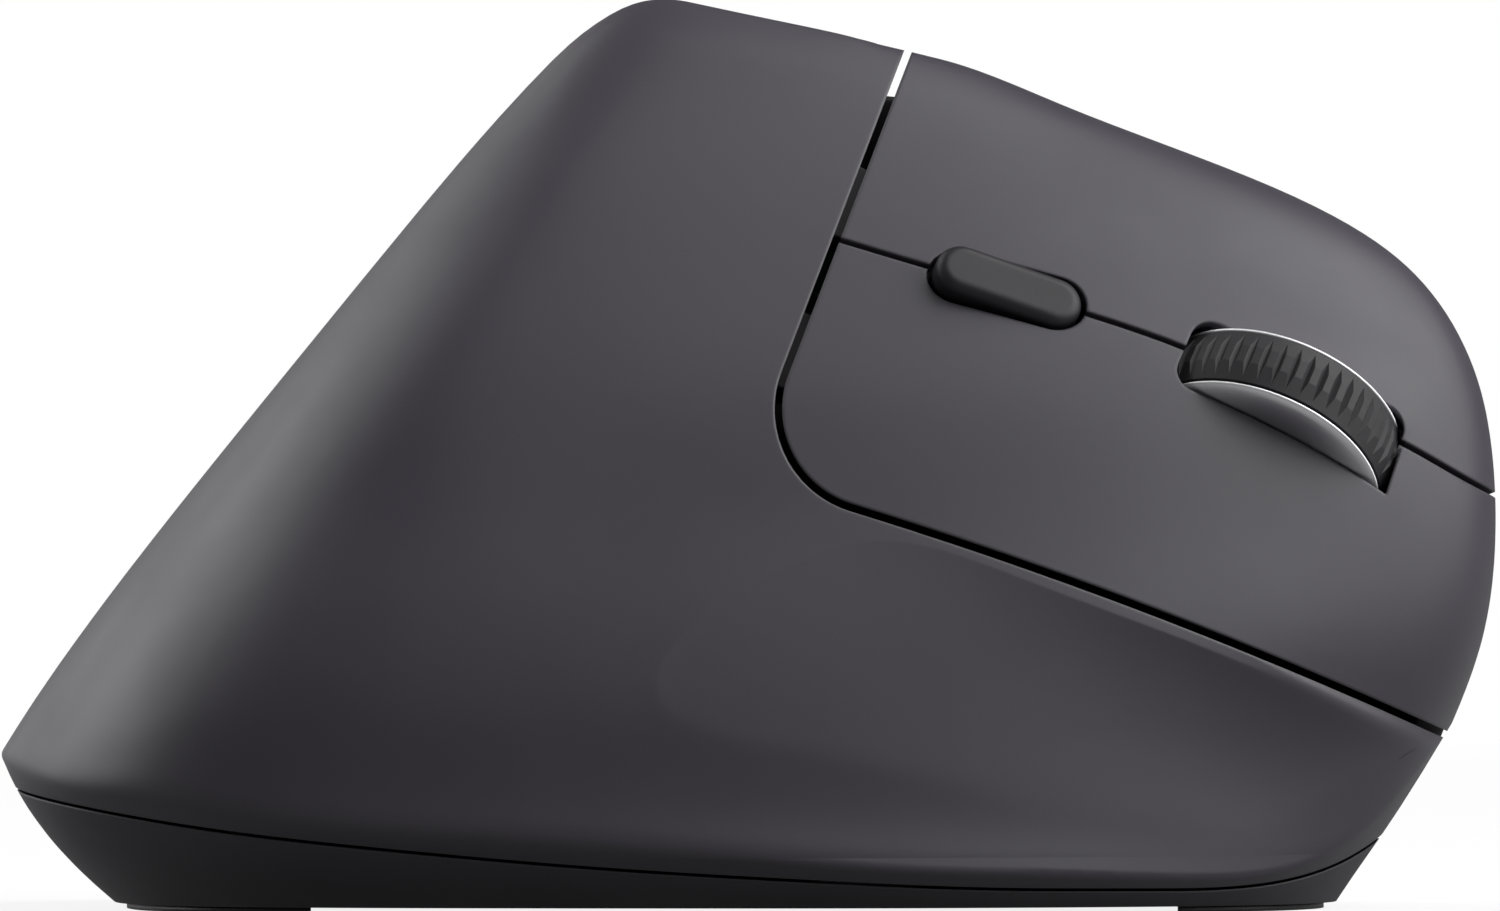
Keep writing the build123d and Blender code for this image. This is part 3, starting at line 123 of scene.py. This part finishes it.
@dataclass(frozen=True)
class MouldedPlastic:
    """Injection moulded plastic: a spark-eroded mould leaves it a fine even grain.

    The patches are the slow change of gloss over a moulding, edge_mm is the roundness that the
    eye sees on a cut edge, and blend_mm is the width of the blend at the foot of the hollow.
    """

    name: str
    colour: str
    # A lighter colour that is mixed in along the cut edges as a painted highlight
    edge_highlight_colour: str
    roughness: float = 0.46
    ior: float = 1.5
    sheen: float = 0.5
    grain_mm: float = 0.22
    grain_depth_mm: float = 0.006
    grain_detail: float = 2.0
    grain_grit: float = 0.6
    grain_strength: float = 0.6
    patch_mm: float = 14.0
    patch_detail: float = 3.0
    patch_grit: float = 0.55
    patch_roughness: float = 0.05
    edge_mm: float = 0.35
    edge_samples: int = 8
    edge_begins: float = 0.995
    edge_ends: float = 0.8
    # How much of the painted edge highlight the sharpest edges get
    edge_highlight_share: float = 0.5
    blend_mm: float = 0.35
    blend_low_mm: float = 4.5
    blend_full_mm: float = 13.0
    blend_high_mm: float = 20.0

    def build(self) -> bpy.types.Material:
        """Makes the material.

        Returns:
            Plastic with moulded grain, uneven gloss and softly rounded edges that carry a painted highlight.
        """
        material, tree = fresh_material(self.name)
        place = add(tree, "ShaderNodeTexCoord")
        patches = add(
            tree, "ShaderNodeTexNoise",
            values={
                "Scale": 1 / (self.patch_mm * MM), "Detail": self.patch_detail,
                "Roughness": self.patch_grit,
            },
            links={"Vector": place.outputs["Object"]},
        )
        gloss = add(
            tree, "ShaderNodeMapRange",
            values={
                "From Min": NOISE_LOW, "From Max": NOISE_HIGH,
                "To Min": self.roughness - self.patch_roughness,
                "To Max": self.roughness + self.patch_roughness,
            },
            links={"Value": patches.outputs["Fac"]},
        )
        # The grain is drawn at about twice its real size, so that a pixel can hold it
        grain = add(
            tree, "ShaderNodeTexNoise",
            values={
                "Scale": 1 / (self.grain_mm * MM), "Detail": self.grain_detail,
                "Roughness": self.grain_grit,
            },
            links={"Vector": place.outputs["Object"]},
        )
        split = add(tree, "ShaderNodeSeparateXYZ", links={"Vector": place.outputs["Object"]})
        # The foot of the finger hollow runs out in a wide blend, the cut edges keep a small one
        fading = add(
            tree, "ShaderNodeMapRange",
            values={"From Min": self.blend_high_mm * MM, "From Max": self.blend_full_mm * MM},
            links={"Value": split.outputs["Z"]},
        )
        above = add(
            tree, "ShaderNodeMath", settings={"operation": "GREATER_THAN"},
            values={1: self.blend_low_mm * MM}, links={0: split.outputs["Z"]},
        )
        hollow = add(
            tree, "ShaderNodeMath", settings={"operation": "MULTIPLY"},
            links={0: fading.outputs["Result"], 1: above.outputs["Value"]},
        )
        radius = add(
            tree, "ShaderNodeMapRange",
            values={"To Min": self.edge_mm * MM, "To Max": self.blend_mm * MM},
            links={"Value": hollow.outputs["Value"]},
        )
        rounded = add(
            tree, "ShaderNodeBevel", settings={"samples": self.edge_samples},
            links={"Radius": radius.outputs["Result"]},
        )
        relief = add(
            tree, "ShaderNodeBump",
            values={"Strength": self.grain_strength, "Distance": self.grain_depth_mm * MM},
            links={"Height": grain.outputs["Fac"], "Normal": rounded.outputs["Normal"]},
        )
        # Where the rounded normal leaves the true one is an edge, and a lighter colour is mixed in there as a
        # painted highlight
        shape = add(tree, "ShaderNodeNewGeometry")
        likeness = add(
            tree, "ShaderNodeVectorMath", settings={"operation": "DOT_PRODUCT"},
            links={0: shape.outputs["Normal"], 1: rounded.outputs["Normal"]},
        )
        edge = add(
            tree, "ShaderNodeMapRange",
            values={
                "From Min": self.edge_begins, "From Max": self.edge_ends,
                "To Max": self.edge_highlight_share,
            },
            links={"Value": likeness.outputs["Value"]},
        )
        tone = add(
            tree, "ShaderNodeMix", settings={"data_type": "RGBA"},
            values={"A": linear(self.colour), "B": linear(self.edge_highlight_colour)},
            links={"Factor": edge.outputs["Result"]},
        )
        skin = add(
            tree, "ShaderNodeBsdfPrincipled",
            values={"IOR": self.ior, "Specular IOR Level": self.sheen},
            links={
                "Base Color": tone.outputs["Result"],
                "Roughness": gloss.outputs["Result"],
                "Normal": relief.outputs["Normal"],
            },
        )
        add(tree, "ShaderNodeOutputMaterial", links={"Surface": skin.outputs["BSDF"]})
        return material


@dataclass(frozen=True)
class MouldedRubber:
    """Compression moulded rubber: dull, with dust-like mottling in its skin."""

    name: str
    colour: str
    bloom: str
    roughness: float = 0.62
    ior: float = 1.52
    mottle_mm: float = 0.8
    mottle_detail: float = 4.0
    mottle_grit: float = 0.65
    depth_mm: float = 0.02
    depth_strength: float = 0.5

    def build(self) -> bpy.types.Material:
        """Makes the material.

        Returns:
            Dull rubber with a little bloom.
        """
        material, tree = fresh_material(self.name)
        place = add(tree, "ShaderNodeTexCoord")
        mottle = add(
            tree, "ShaderNodeTexNoise",
            values={
                "Scale": 1 / (self.mottle_mm * MM), "Detail": self.mottle_detail,
                "Roughness": self.mottle_grit,
            },
            links={"Vector": place.outputs["Object"]},
        )
        tone = add(
            tree, "ShaderNodeMix", settings={"data_type": "RGBA"},
            values={"A": linear(self.colour), "B": linear(self.bloom)},
            links={"Factor": mottle.outputs["Fac"]},
        )
        relief = add(
            tree, "ShaderNodeBump",
            values={"Strength": self.depth_strength, "Distance": self.depth_mm * MM},
            links={"Height": mottle.outputs["Fac"]},
        )
        skin = add(
            tree, "ShaderNodeBsdfPrincipled",
            values={"IOR": self.ior, "Roughness": self.roughness},
            links={"Base Color": tone.outputs["Result"], "Normal": relief.outputs["Normal"]},
        )
        add(tree, "ShaderNodeOutputMaterial", links={"Surface": skin.outputs["BSDF"]})
        return material


@dataclass(frozen=True)
class WorkedMetal:
    """Metal that was drawn, rolled or plated: the tool leaves a fine unevenness in its gloss."""

    name: str
    colour: str
    roughness: float = 0.25
    smoothest: float = 0.02
    line_mm: float = 0.15
    line_detail: float = 3.0
    line_gloss: float = 0.08
    depth_mm: float = 0.002
    depth_strength: float = 0.4

    def build(self) -> bpy.types.Material:
        """Makes the material.

        Returns:
            Metal with uneven gloss and faint tool lines.
        """
        material, tree = fresh_material(self.name)
        place = add(tree, "ShaderNodeTexCoord")
        lines = add(
            tree, "ShaderNodeTexNoise",
            values={"Scale": 1 / (self.line_mm * MM), "Detail": self.line_detail},
            links={"Vector": place.outputs["Object"]},
        )
        gloss = add(
            tree, "ShaderNodeMapRange",
            values={
                "From Min": NOISE_LOW, "From Max": NOISE_HIGH,
                "To Min": max(self.roughness - self.line_gloss, self.smoothest),
                "To Max": self.roughness + self.line_gloss,
            },
            links={"Value": lines.outputs["Fac"]},
        )
        relief = add(
            tree, "ShaderNodeBump",
            values={"Strength": self.depth_strength, "Distance": self.depth_mm * MM},
            links={"Height": lines.outputs["Fac"]},
        )
        skin = add(
            tree, "ShaderNodeBsdfPrincipled",
            values={"Base Color": linear(self.colour), "Metallic": 1.0},
            links={"Roughness": gloss.outputs["Result"], "Normal": relief.outputs["Normal"]},
        )
        add(tree, "ShaderNodeOutputMaterial", links={"Surface": skin.outputs["BSDF"]})
        return material


@dataclass(frozen=True)
class TurnedMetal:
    """Aluminium faced on a lathe: its rings are finer than the eye resolves.

    They aren't drawn one by one, but they spread the light across themselves.
    """

    name: str
    colour: str
    roughness: float = 0.48
    spread: float = 0.8
    haze_mm: float = 0.5
    haze_detail: float = 2.0
    haze_gloss: float = 0.02

    def build(self) -> bpy.types.Material:
        """Makes the material.

        Returns:
            Satin metal with its turning rings round its own Z.
        """
        material, tree = fresh_material(self.name)
        place = add(tree, "ShaderNodeTexCoord")
        around = add(
            tree, "ShaderNodeTangent", settings={"direction_type": "RADIAL", "axis": "Z"}
        )
        haze = add(
            tree, "ShaderNodeTexNoise",
            values={"Scale": 1 / (self.haze_mm * MM), "Detail": self.haze_detail},
            links={"Vector": place.outputs["Object"]},
        )
        gloss = add(
            tree, "ShaderNodeMapRange",
            values={
                "From Min": NOISE_LOW, "From Max": NOISE_HIGH,
                "To Min": self.roughness - self.haze_gloss,
                "To Max": self.roughness + self.haze_gloss,
            },
            links={"Value": haze.outputs["Fac"]},
        )
        skin = add(
            tree, "ShaderNodeBsdfPrincipled",
            values={
                "Base Color": linear(self.colour), "Metallic": 1.0, "Anisotropic": self.spread,
            },
            links={"Roughness": gloss.outputs["Result"], "Tangent": around.outputs["Tangent"]},
        )
        add(tree, "ShaderNodeOutputMaterial", links={"Surface": skin.outputs["BSDF"]})
        return material


@dataclass(frozen=True)
class ClearMoulding:
    """Clear moulded acrylic: the eye sees through it, with a bright edge."""

    name: str
    colour: str
    roughness: float = 0.08
    ior: float = 1.49
    haze_mm: float = 2.0

    def build(self) -> bpy.types.Material:
        """Makes the material.

        Returns:
            Clear plastic with a slight haze.
        """
        material, tree = fresh_material(self.name)
        place = add(tree, "ShaderNodeTexCoord")
        haze = add(
            tree, "ShaderNodeTexNoise", values={"Scale": 1 / (self.haze_mm * MM)},
            links={"Vector": place.outputs["Object"]},
        )
        gloss = add(
            tree, "ShaderNodeMapRange",
            values={"To Min": self.roughness / 2, "To Max": self.roughness * 2},
            links={"Value": haze.outputs["Fac"]},
        )
        skin = add(
            tree, "ShaderNodeBsdfPrincipled",
            values={
                "Base Color": linear(self.colour), "IOR": self.ior, "Transmission Weight": 1.0,
            },
            links={"Roughness": gloss.outputs["Result"]},
        )
        add(tree, "ShaderNodeOutputMaterial", links={"Surface": skin.outputs["BSDF"]})
        return material


class Finish(Enum):
    """Every finish of the mouse, with what it gives the eye."""

    # Soft satin skins that carry the long highlights of the finger side
    BUTTON = MouldedPlastic("abs_moulded_button", "413e46", "58565c", roughness=0.44)
    SHELL = MouldedPlastic(
        "abs_moulded_palm_shell", "413e46", "58565c", roughness=0.46, blend_mm=3.0
    )
    # A duller, darker skin under the thumb
    THUMB = MouldedPlastic("abs_moulded_thumb_shell", "2e2d30", "48464b", roughness=0.52)
    # A rougher skin, nearly without highlights
    BASE = MouldedPlastic("abs_spark_eroded_base", "39373d", "4a484e", roughness=0.55)
    # Small dark keys with a faint sheen
    KEY = MouldedPlastic("abs_moulded_key", "252428", "3c3b40", roughness=0.46, sheen=0.35)
    # Plain mouldings that are seen through the gaps at most
    INNER = MouldedPlastic("pom_moulded_inner_frame", "303033", "404044", roughness=0.5)
    NYLON = MouldedPlastic("nylon_moulded_wheel_core", "2c2c2e", "444447", roughness=0.42)
    SWITCH = MouldedPlastic("pbt_moulded_switch", "29292b", "3c3c3f", roughness=0.4)
    CHIP = MouldedPlastic("epoxy_moulded_chip", "1f1f20", "2c2c2e", roughness=0.5)
    # Undyed nylon looks like cream
    HEADER = MouldedPlastic("nylon_moulded_header", "d8d4c8", "e6e2d8", roughness=0.4)
    # Solder mask gives the board a smooth green gloss
    BOARD = MouldedPlastic("glass_epoxy_masked_board", "1d5a34", "2c7446", roughness=0.3)
    # Skived film slides easily and looks waxy
    GLIDE = MouldedPlastic("ptfe_skived_glide", "2b2b2d", "48484b", roughness=0.35)
    # Black rubber that swallows the light between its ribs
    TYRE = MouldedRubber("silicone_rubber_moulded_tyre", "1f1e21", "29282b")
    # The one bright line of the mouse
    BRIGHT = TurnedMetal("aluminium_lathe_turned_rim", "f2f2f4")
    # Bare and plated metal inside and underneath, from bright pin to dull sleeve
    STEEL = WorkedMetal("steel_drawn_pin", "c4c4c8", roughness=0.28)
    SCREW = WorkedMetal("steel_zinc_plated_screw", "a8a8ac", roughness=0.34)
    CONTACT = WorkedMetal("nickel_plated_contact", "c9c8c0", roughness=0.22)
    CELL = WorkedMetal("steel_sleeved_cell_can", "8f8f94", roughness=0.3)
    # Clear and nearly colourless
    LENS = ClearMoulding("acrylic_moulded_lens", "eef2f4")


FINISH_OF_SLOT = {
    "button_plastic": Finish.BUTTON,
    "shell_plastic": Finish.SHELL,
    "thumb_plastic": Finish.THUMB,
    "base_plastic": Finish.BASE,
    "tyre_rubber": Finish.TYRE,
    "wheel_nylon": Finish.NYLON,
    "bright_rim": Finish.BRIGHT,
    "key_plastic": Finish.KEY,
    "inner_plastic": Finish.INNER,
    "steel": Finish.STEEL,
    "screw_steel": Finish.SCREW,
    "circuit_board": Finish.BOARD,
    "switch_plastic": Finish.SWITCH,
    "chip_plastic": Finish.CHIP,
    "lens_clear": Finish.LENS,
    "cell_can": Finish.CELL,
    "contact_metal": Finish.CONTACT,
    "glide_film": Finish.GLIDE,
    "header_plastic": Finish.HEADER,
}


@dataclass
class PaintShop:
    """Makes each finish once and dresses pieces in it."""

    made: dict[Finish, bpy.types.Material] = field(default_factory=dict)

    def material(self, finish: Finish) -> bpy.types.Material:
        """Returns the finish's material, made on first use.

        Args:
            finish: The finish that is wanted.

        Returns:
            Its Blender material.
        """
        if finish not in self.made:
            self.made[finish] = finish.value.build()
        return self.made[finish]

    def dress(self, piece: bpy.types.Object, finish: Finish) -> None:
        """Gives a piece one finish all over.

        Args:
            piece: The mesh that is dressed.
            finish: The finish that it gets.
        """
        piece.data.materials.clear()
        piece.data.materials.append(self.material(finish))


@dataclass
class CarriedNodes:
    """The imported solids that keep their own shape."""

    shop: PaintShop
    smooth_angle: float = math.radians(32)

    def build(self) -> None:
        """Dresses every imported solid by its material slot."""
        for row in frame["record"]["subparts"]:
            node = frame["nodes"][row["node"]]
            self.shop.dress(node, FINISH_OF_SLOT[row["material_slot"]])
            self.smooth(node)
            LOG.info("dressed %s as %s", node.name, row["material_slot"])

    def smooth(self, node: bpy.types.Object) -> None:
        """Shades curved faces smoothly and keeps real edges sharp.

        Args:
            node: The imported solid.
        """
        node.data.shade_smooth()
        node.data.set_sharp_from_angle(angle=self.smooth_angle)


@dataclass
class WheelRims:
    """The two turned discs that hold the tyre: a thin gap, a bright lip and a crowned face.

    The profile's points are the distance from the axle and the height above the wheel's middle.
    """

    shop: PaintShop
    nodes: tuple[tuple[str, int], ...] = (("wheel_rim_lower", -1), ("wheel_rim_upper", 1))
    steps: int = 160
    lip_angle: float = math.radians(50)
    profile_mm: tuple[tuple[float, float], ...] = (
        (2.65, 2.44), (9.60, 2.44), (9.86, 2.50), (9.98, 2.58), (10.02, 2.68), (9.98, 2.78),
        (9.88, 2.88), (9.70, 2.98), (9.42, 3.07), (9.06, 3.15), (8.60, 3.22), (8.00, 3.28),
        (7.20, 3.32), (6.00, 3.34), (2.65, 3.34),
    )

    def build(self) -> None:
        """Turns both discs and lets them stand for their plain solids."""
        roll = next(joint for joint in frame["joints"] if joint["name"] == "wheel_roll")
        axle = Vector(roll["axis"])
        for node, side in self.nodes:
            disc = self.turned("turned_" + node)
            disc.matrix_world = Matrix.Translation(Vector(roll["pos_m"])) @ (
                (axle * side).to_track_quat("Z", "Y").to_matrix().to_4x4()
            )
            self.shop.dress(disc, Finish.BRIGHT)
            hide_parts(node)
            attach(disc, roll["child"])
            LOG.info("turned %s", disc.name)

    def turned(self, name: str) -> bpy.types.Object:
        """Turns the profile once round the axle.

        Args:
            name: The disc's name.

        Returns:
            The closed disc, with its axle along its own Z.
        """
        points = [(radius * MM, height * MM) for radius, height in self.profile_mm]
        corners = [
            (radius * math.cos(turn), radius * math.sin(turn), height)
            for turn in (2 * math.pi * step / self.steps for step in range(self.steps))
            for radius, height in points
        ]
        count = len(points)
        faces = [
            (
                step * count + place,
                (step + 1) % self.steps * count + place,
                (step + 1) % self.steps * count + (place + 1) % count,
                step * count + (place + 1) % count,
            )
            for step in range(self.steps)
            for place in range(count)
        ]
        mesh = bpy.data.meshes.new(name)
        mesh.from_pydata(corners, [], faces)
        mesh.shade_smooth()
        mesh.set_sharp_from_angle(angle=self.lip_angle)
        disc = bpy.data.objects.new(name, mesh)
        bpy.context.scene.collection.objects.link(disc)
        return disc


@dataclass(frozen=True)
class Softbox:
    """One soft studio light: its place round the mouse, its size and its power.

    turn_deg counts from the nose towards the thumb side, and the lengths are metres.
    """

    name: str
    turn_deg: float
    rise_deg: float
    watts: float
    width: float = 0.7
    height: float = 0.7
    reach: float = 1.0


SOFTBOXES = (
    Softbox("nose_softbox", 0, 20, 3.8),
    Softbox("key_softbox", 0, 55, 5.2),
    Softbox("side_softbox", -35, 30, 3.8),
    Softbox("overhead_softbox", -35, 60, 1.7),
    Softbox("tail_softbox", 160, 45, 3.6),
    Softbox("low_tail_softbox", 165, 14, 3.0),
    Softbox("back_softbox", 132, 18, 1.5),
)


@dataclass
class Studio:
    """The white floor, the soft lights and the camera.

    Lengths without a unit in their name are metres. The floor is painted twice: the pale paint
    is what the eye sees, and the grey one is what bounces light at the mouse. Between floor_near
    and floor_far it runs into the backdrop. near_white is its share of plain white near the
    mouse, and mirrored_white the part of it that gloss mirrors. Gloss sees the backdrop as
    sky_low at the horizon and as sky_high above sky_turn, the sine of the height.
    """

    floor_size: float = 60.0
    floor_drop_mm: float = 0.02
    floor_paint: str = "f4f4f4"
    floor_bounce: str = "5c5c5c"
    floor_near: float = 0.3
    floor_far: float = 0.9
    near_white: float = 0.86
    mirrored_white: float = 0.14
    sky_diffuse: float = 0.05
    sky_low: float = 0.18
    sky_high: float = 0.04
    sky_turn: float = 0.6
    camera_distance: float = 2.5
    camera_height_deg: float = 0.35
    frame_width_mm: float = 118.6
    target_mm: tuple[float, float, float] = (0.14, 0.0, 35.7)
    sensor_mm: float = 36.0
    sight: float = 100.0

    def build(self) -> None:
        """Builds the floor, the world, the lights and the camera."""
        self.floor()
        self.world()
        for softbox in SOFTBOXES:
            self.lamp(softbox)
        self.camera()

    def background_share(self, tree: bpy.types.NodeTree, mirrored: float) -> bpy.types.NodeSocket:
        """Tells the rays that see the background from those that carry light.

        Args:
            tree: The node tree that gets the nodes.
            mirrored: The share for rays that were mirrored.

        Returns:
            One for rays from the camera or through clear plastic, the share for mirrored ones.
        """
        path = add(tree, "ShaderNodeLightPath")
        gloss = add(
            tree, "ShaderNodeMath", settings={"operation": "MULTIPLY"}, values={1: mirrored},
            links={0: path.outputs["Is Glossy Ray"]},
        )
        clear = add(
            tree, "ShaderNodeMath", settings={"operation": "MAXIMUM"},
            links={0: path.outputs["Is Transmission Ray"], 1: gloss.outputs["Value"]},
        )
        seen = add(
            tree, "ShaderNodeMath", settings={"operation": "MAXIMUM"},
            links={0: path.outputs["Is Camera Ray"], 1: clear.outputs["Value"]},
        )
        return seen.outputs["Value"]

    def floor(self) -> None:
        """Makes the white floor, which keeps the mouse's shadow close to it."""
        mesh = bpy.data.meshes.new("floor")
        half = self.floor_size / 2
        # It lies a hair under the feet, so that no two faces share one plane
        low = -self.floor_drop_mm * MM
        corners = [(-half, -half, low), (half, -half, low), (half, half, low), (-half, half, low)]
        mesh.from_pydata(corners, [], [(0, 1, 2, 3)])
        floor = bpy.data.objects.new("floor", mesh)
        bpy.context.scene.collection.objects.link(floor)
        material, tree = fresh_material("painted_white_floor")
        seen = self.background_share(tree, self.mirrored_white)
        place = add(tree, "ShaderNodeTexCoord")
        away = add(
            tree, "ShaderNodeVectorMath", settings={"operation": "LENGTH"},
            links={0: place.outputs["Object"]},
        )
        # Far from the mouse no shadow falls, so the floor runs into the white backdrop there
        white_share = add(
            tree, "ShaderNodeMapRange",
            values={
                "From Min": self.floor_near, "From Max": self.floor_far,
                "To Min": self.near_white, "To Max": 1.0,
            },
            links={"Value": away.outputs["Value"]},
        )
        share = add(
            tree, "ShaderNodeMath", settings={"operation": "MULTIPLY"},
            links={0: seen, 1: white_share.outputs["Result"]},
        )
        paint = add(
            tree, "ShaderNodeMix", settings={"data_type": "RGBA"},
            values={"A": linear(self.floor_bounce), "B": linear(self.floor_paint)},
            links={"Factor": seen},
        )
        dull = add(tree, "ShaderNodeBsdfDiffuse", links={"Color": paint.outputs["Result"]})
        white = add(
            tree, "ShaderNodeEmission", values={"Color": linear("ffffff"), "Strength": 1.0}
        )
        mixed = add(
            tree, "ShaderNodeMixShader",
            links={
                0: share.outputs["Value"], 1: dull.outputs["BSDF"],
                2: white.outputs["Emission"],
            },
        )
        # From below the floor lets the eye through, so that the feet and the door show
        side = add(tree, "ShaderNodeNewGeometry")
        clear = add(tree, "ShaderNodeBsdfTransparent", values={"Color": linear("ffffff")})
        sided = add(
            tree, "ShaderNodeMixShader",
            links={
                0: side.outputs["Backfacing"], 1: mixed.outputs["Shader"],
                2: clear.outputs["BSDF"],
            },
        )
        add(tree, "ShaderNodeOutputMaterial", links={"Surface": sided.outputs["Shader"]})
        mesh.materials.append(material)

    def world(self) -> None:
        """Makes a backdrop that looks white, mirrors as a pale horizon and lights little."""
        world = bpy.data.worlds.new("studio")
        bpy.context.scene.world = world
        world.use_nodes = True
        tree = world.node_tree
        tree.nodes.clear()
        path = add(tree, "ShaderNodeLightPath")
        place = add(tree, "ShaderNodeTexCoord")
        split = add(tree, "ShaderNodeSeparateXYZ", links={"Vector": place.outputs["Generated"]})
        glow = add(
            tree, "ShaderNodeMapRange",
            values={
                "From Max": self.sky_turn, "To Min": self.sky_low, "To Max": self.sky_high,
            },
            links={"Value": split.outputs["Z"]},
        )
        dim = add(
            tree, "ShaderNodeBackground",
            values={"Color": linear("ffffff"), "Strength": self.sky_diffuse},
        )
        mirrored = add(
            tree, "ShaderNodeBackground", values={"Color": linear("ffffff")},
            links={"Strength": glow.outputs["Result"]},
        )
        lit = add(
            tree, "ShaderNodeMixShader",
            links={
                0: path.outputs["Is Glossy Ray"], 1: dim.outputs["Background"],
                2: mirrored.outputs["Background"],
            },
        )
        white = add(
            tree, "ShaderNodeBackground", values={"Color": linear("ffffff"), "Strength": 1.0}
        )
        mixed = add(
            tree, "ShaderNodeMixShader",
            links={
                0: self.background_share(tree, 0.0), 1: lit.outputs["Shader"],
                2: white.outputs["Background"],
            },
        )
        add(tree, "ShaderNodeOutputWorld", links={"Surface": mixed.outputs["Shader"]})

    def lamp(self, softbox: Softbox) -> None:
        """Hangs one softbox so that it faces the mouse.

        Args:
            softbox: Its place, size and power.
        """
        data = bpy.data.lights.new(softbox.name, "AREA")
        data.shape = "RECTANGLE"
        data.size, data.size_y = softbox.width, softbox.height
        data.energy = softbox.watts
        turn, rise = math.radians(softbox.turn_deg), math.radians(softbox.rise_deg)
        side = Vector(
            (math.cos(turn) * math.cos(rise), math.sin(turn) * math.cos(rise), math.sin(rise))
        )
        lamp = bpy.data.objects.new(softbox.name, data)
        lamp.location = Vector((0, 0, self.target_mm[2] * MM)) + side * softbox.reach
        lamp.rotation_euler = (-side).to_track_quat("-Z", "Y").to_euler()
        lamp.visible_camera = False
        bpy.context.scene.collection.objects.link(lamp)

    def camera(self) -> None:
        """Makes the camera at the photograph's view: nearly level and square to the side."""
        data = bpy.data.cameras.new("camera")
        data.sensor_width = self.sensor_mm
        data.lens = self.sensor_mm * self.camera_distance / (self.frame_width_mm * MM)
        data.clip_end = self.sight
        camera = bpy.data.objects.new("camera", data)
        target = Vector(self.target_mm) * MM
        rise = math.radians(self.camera_height_deg)
        back = Vector((0, -math.cos(rise), math.sin(rise)))
        camera.location = target + back * self.camera_distance
        camera.rotation_euler = (-back).to_track_quat("-Z", "Y").to_euler()
        bpy.context.scene.collection.objects.link(camera)
        bpy.context.scene.camera = camera


def main() -> None:
    """Builds the mouse's looks in order and reports each piece."""
    logging.basicConfig(level=logging.INFO, format="%(message)s")
    bpy.context.scene.view_settings.view_transform = "Standard"
    shop = PaintShop()
    CarriedNodes(shop).build()
    WheelRims(shop).build()
    Studio().build()


if __name__ == "__main__":
    main()
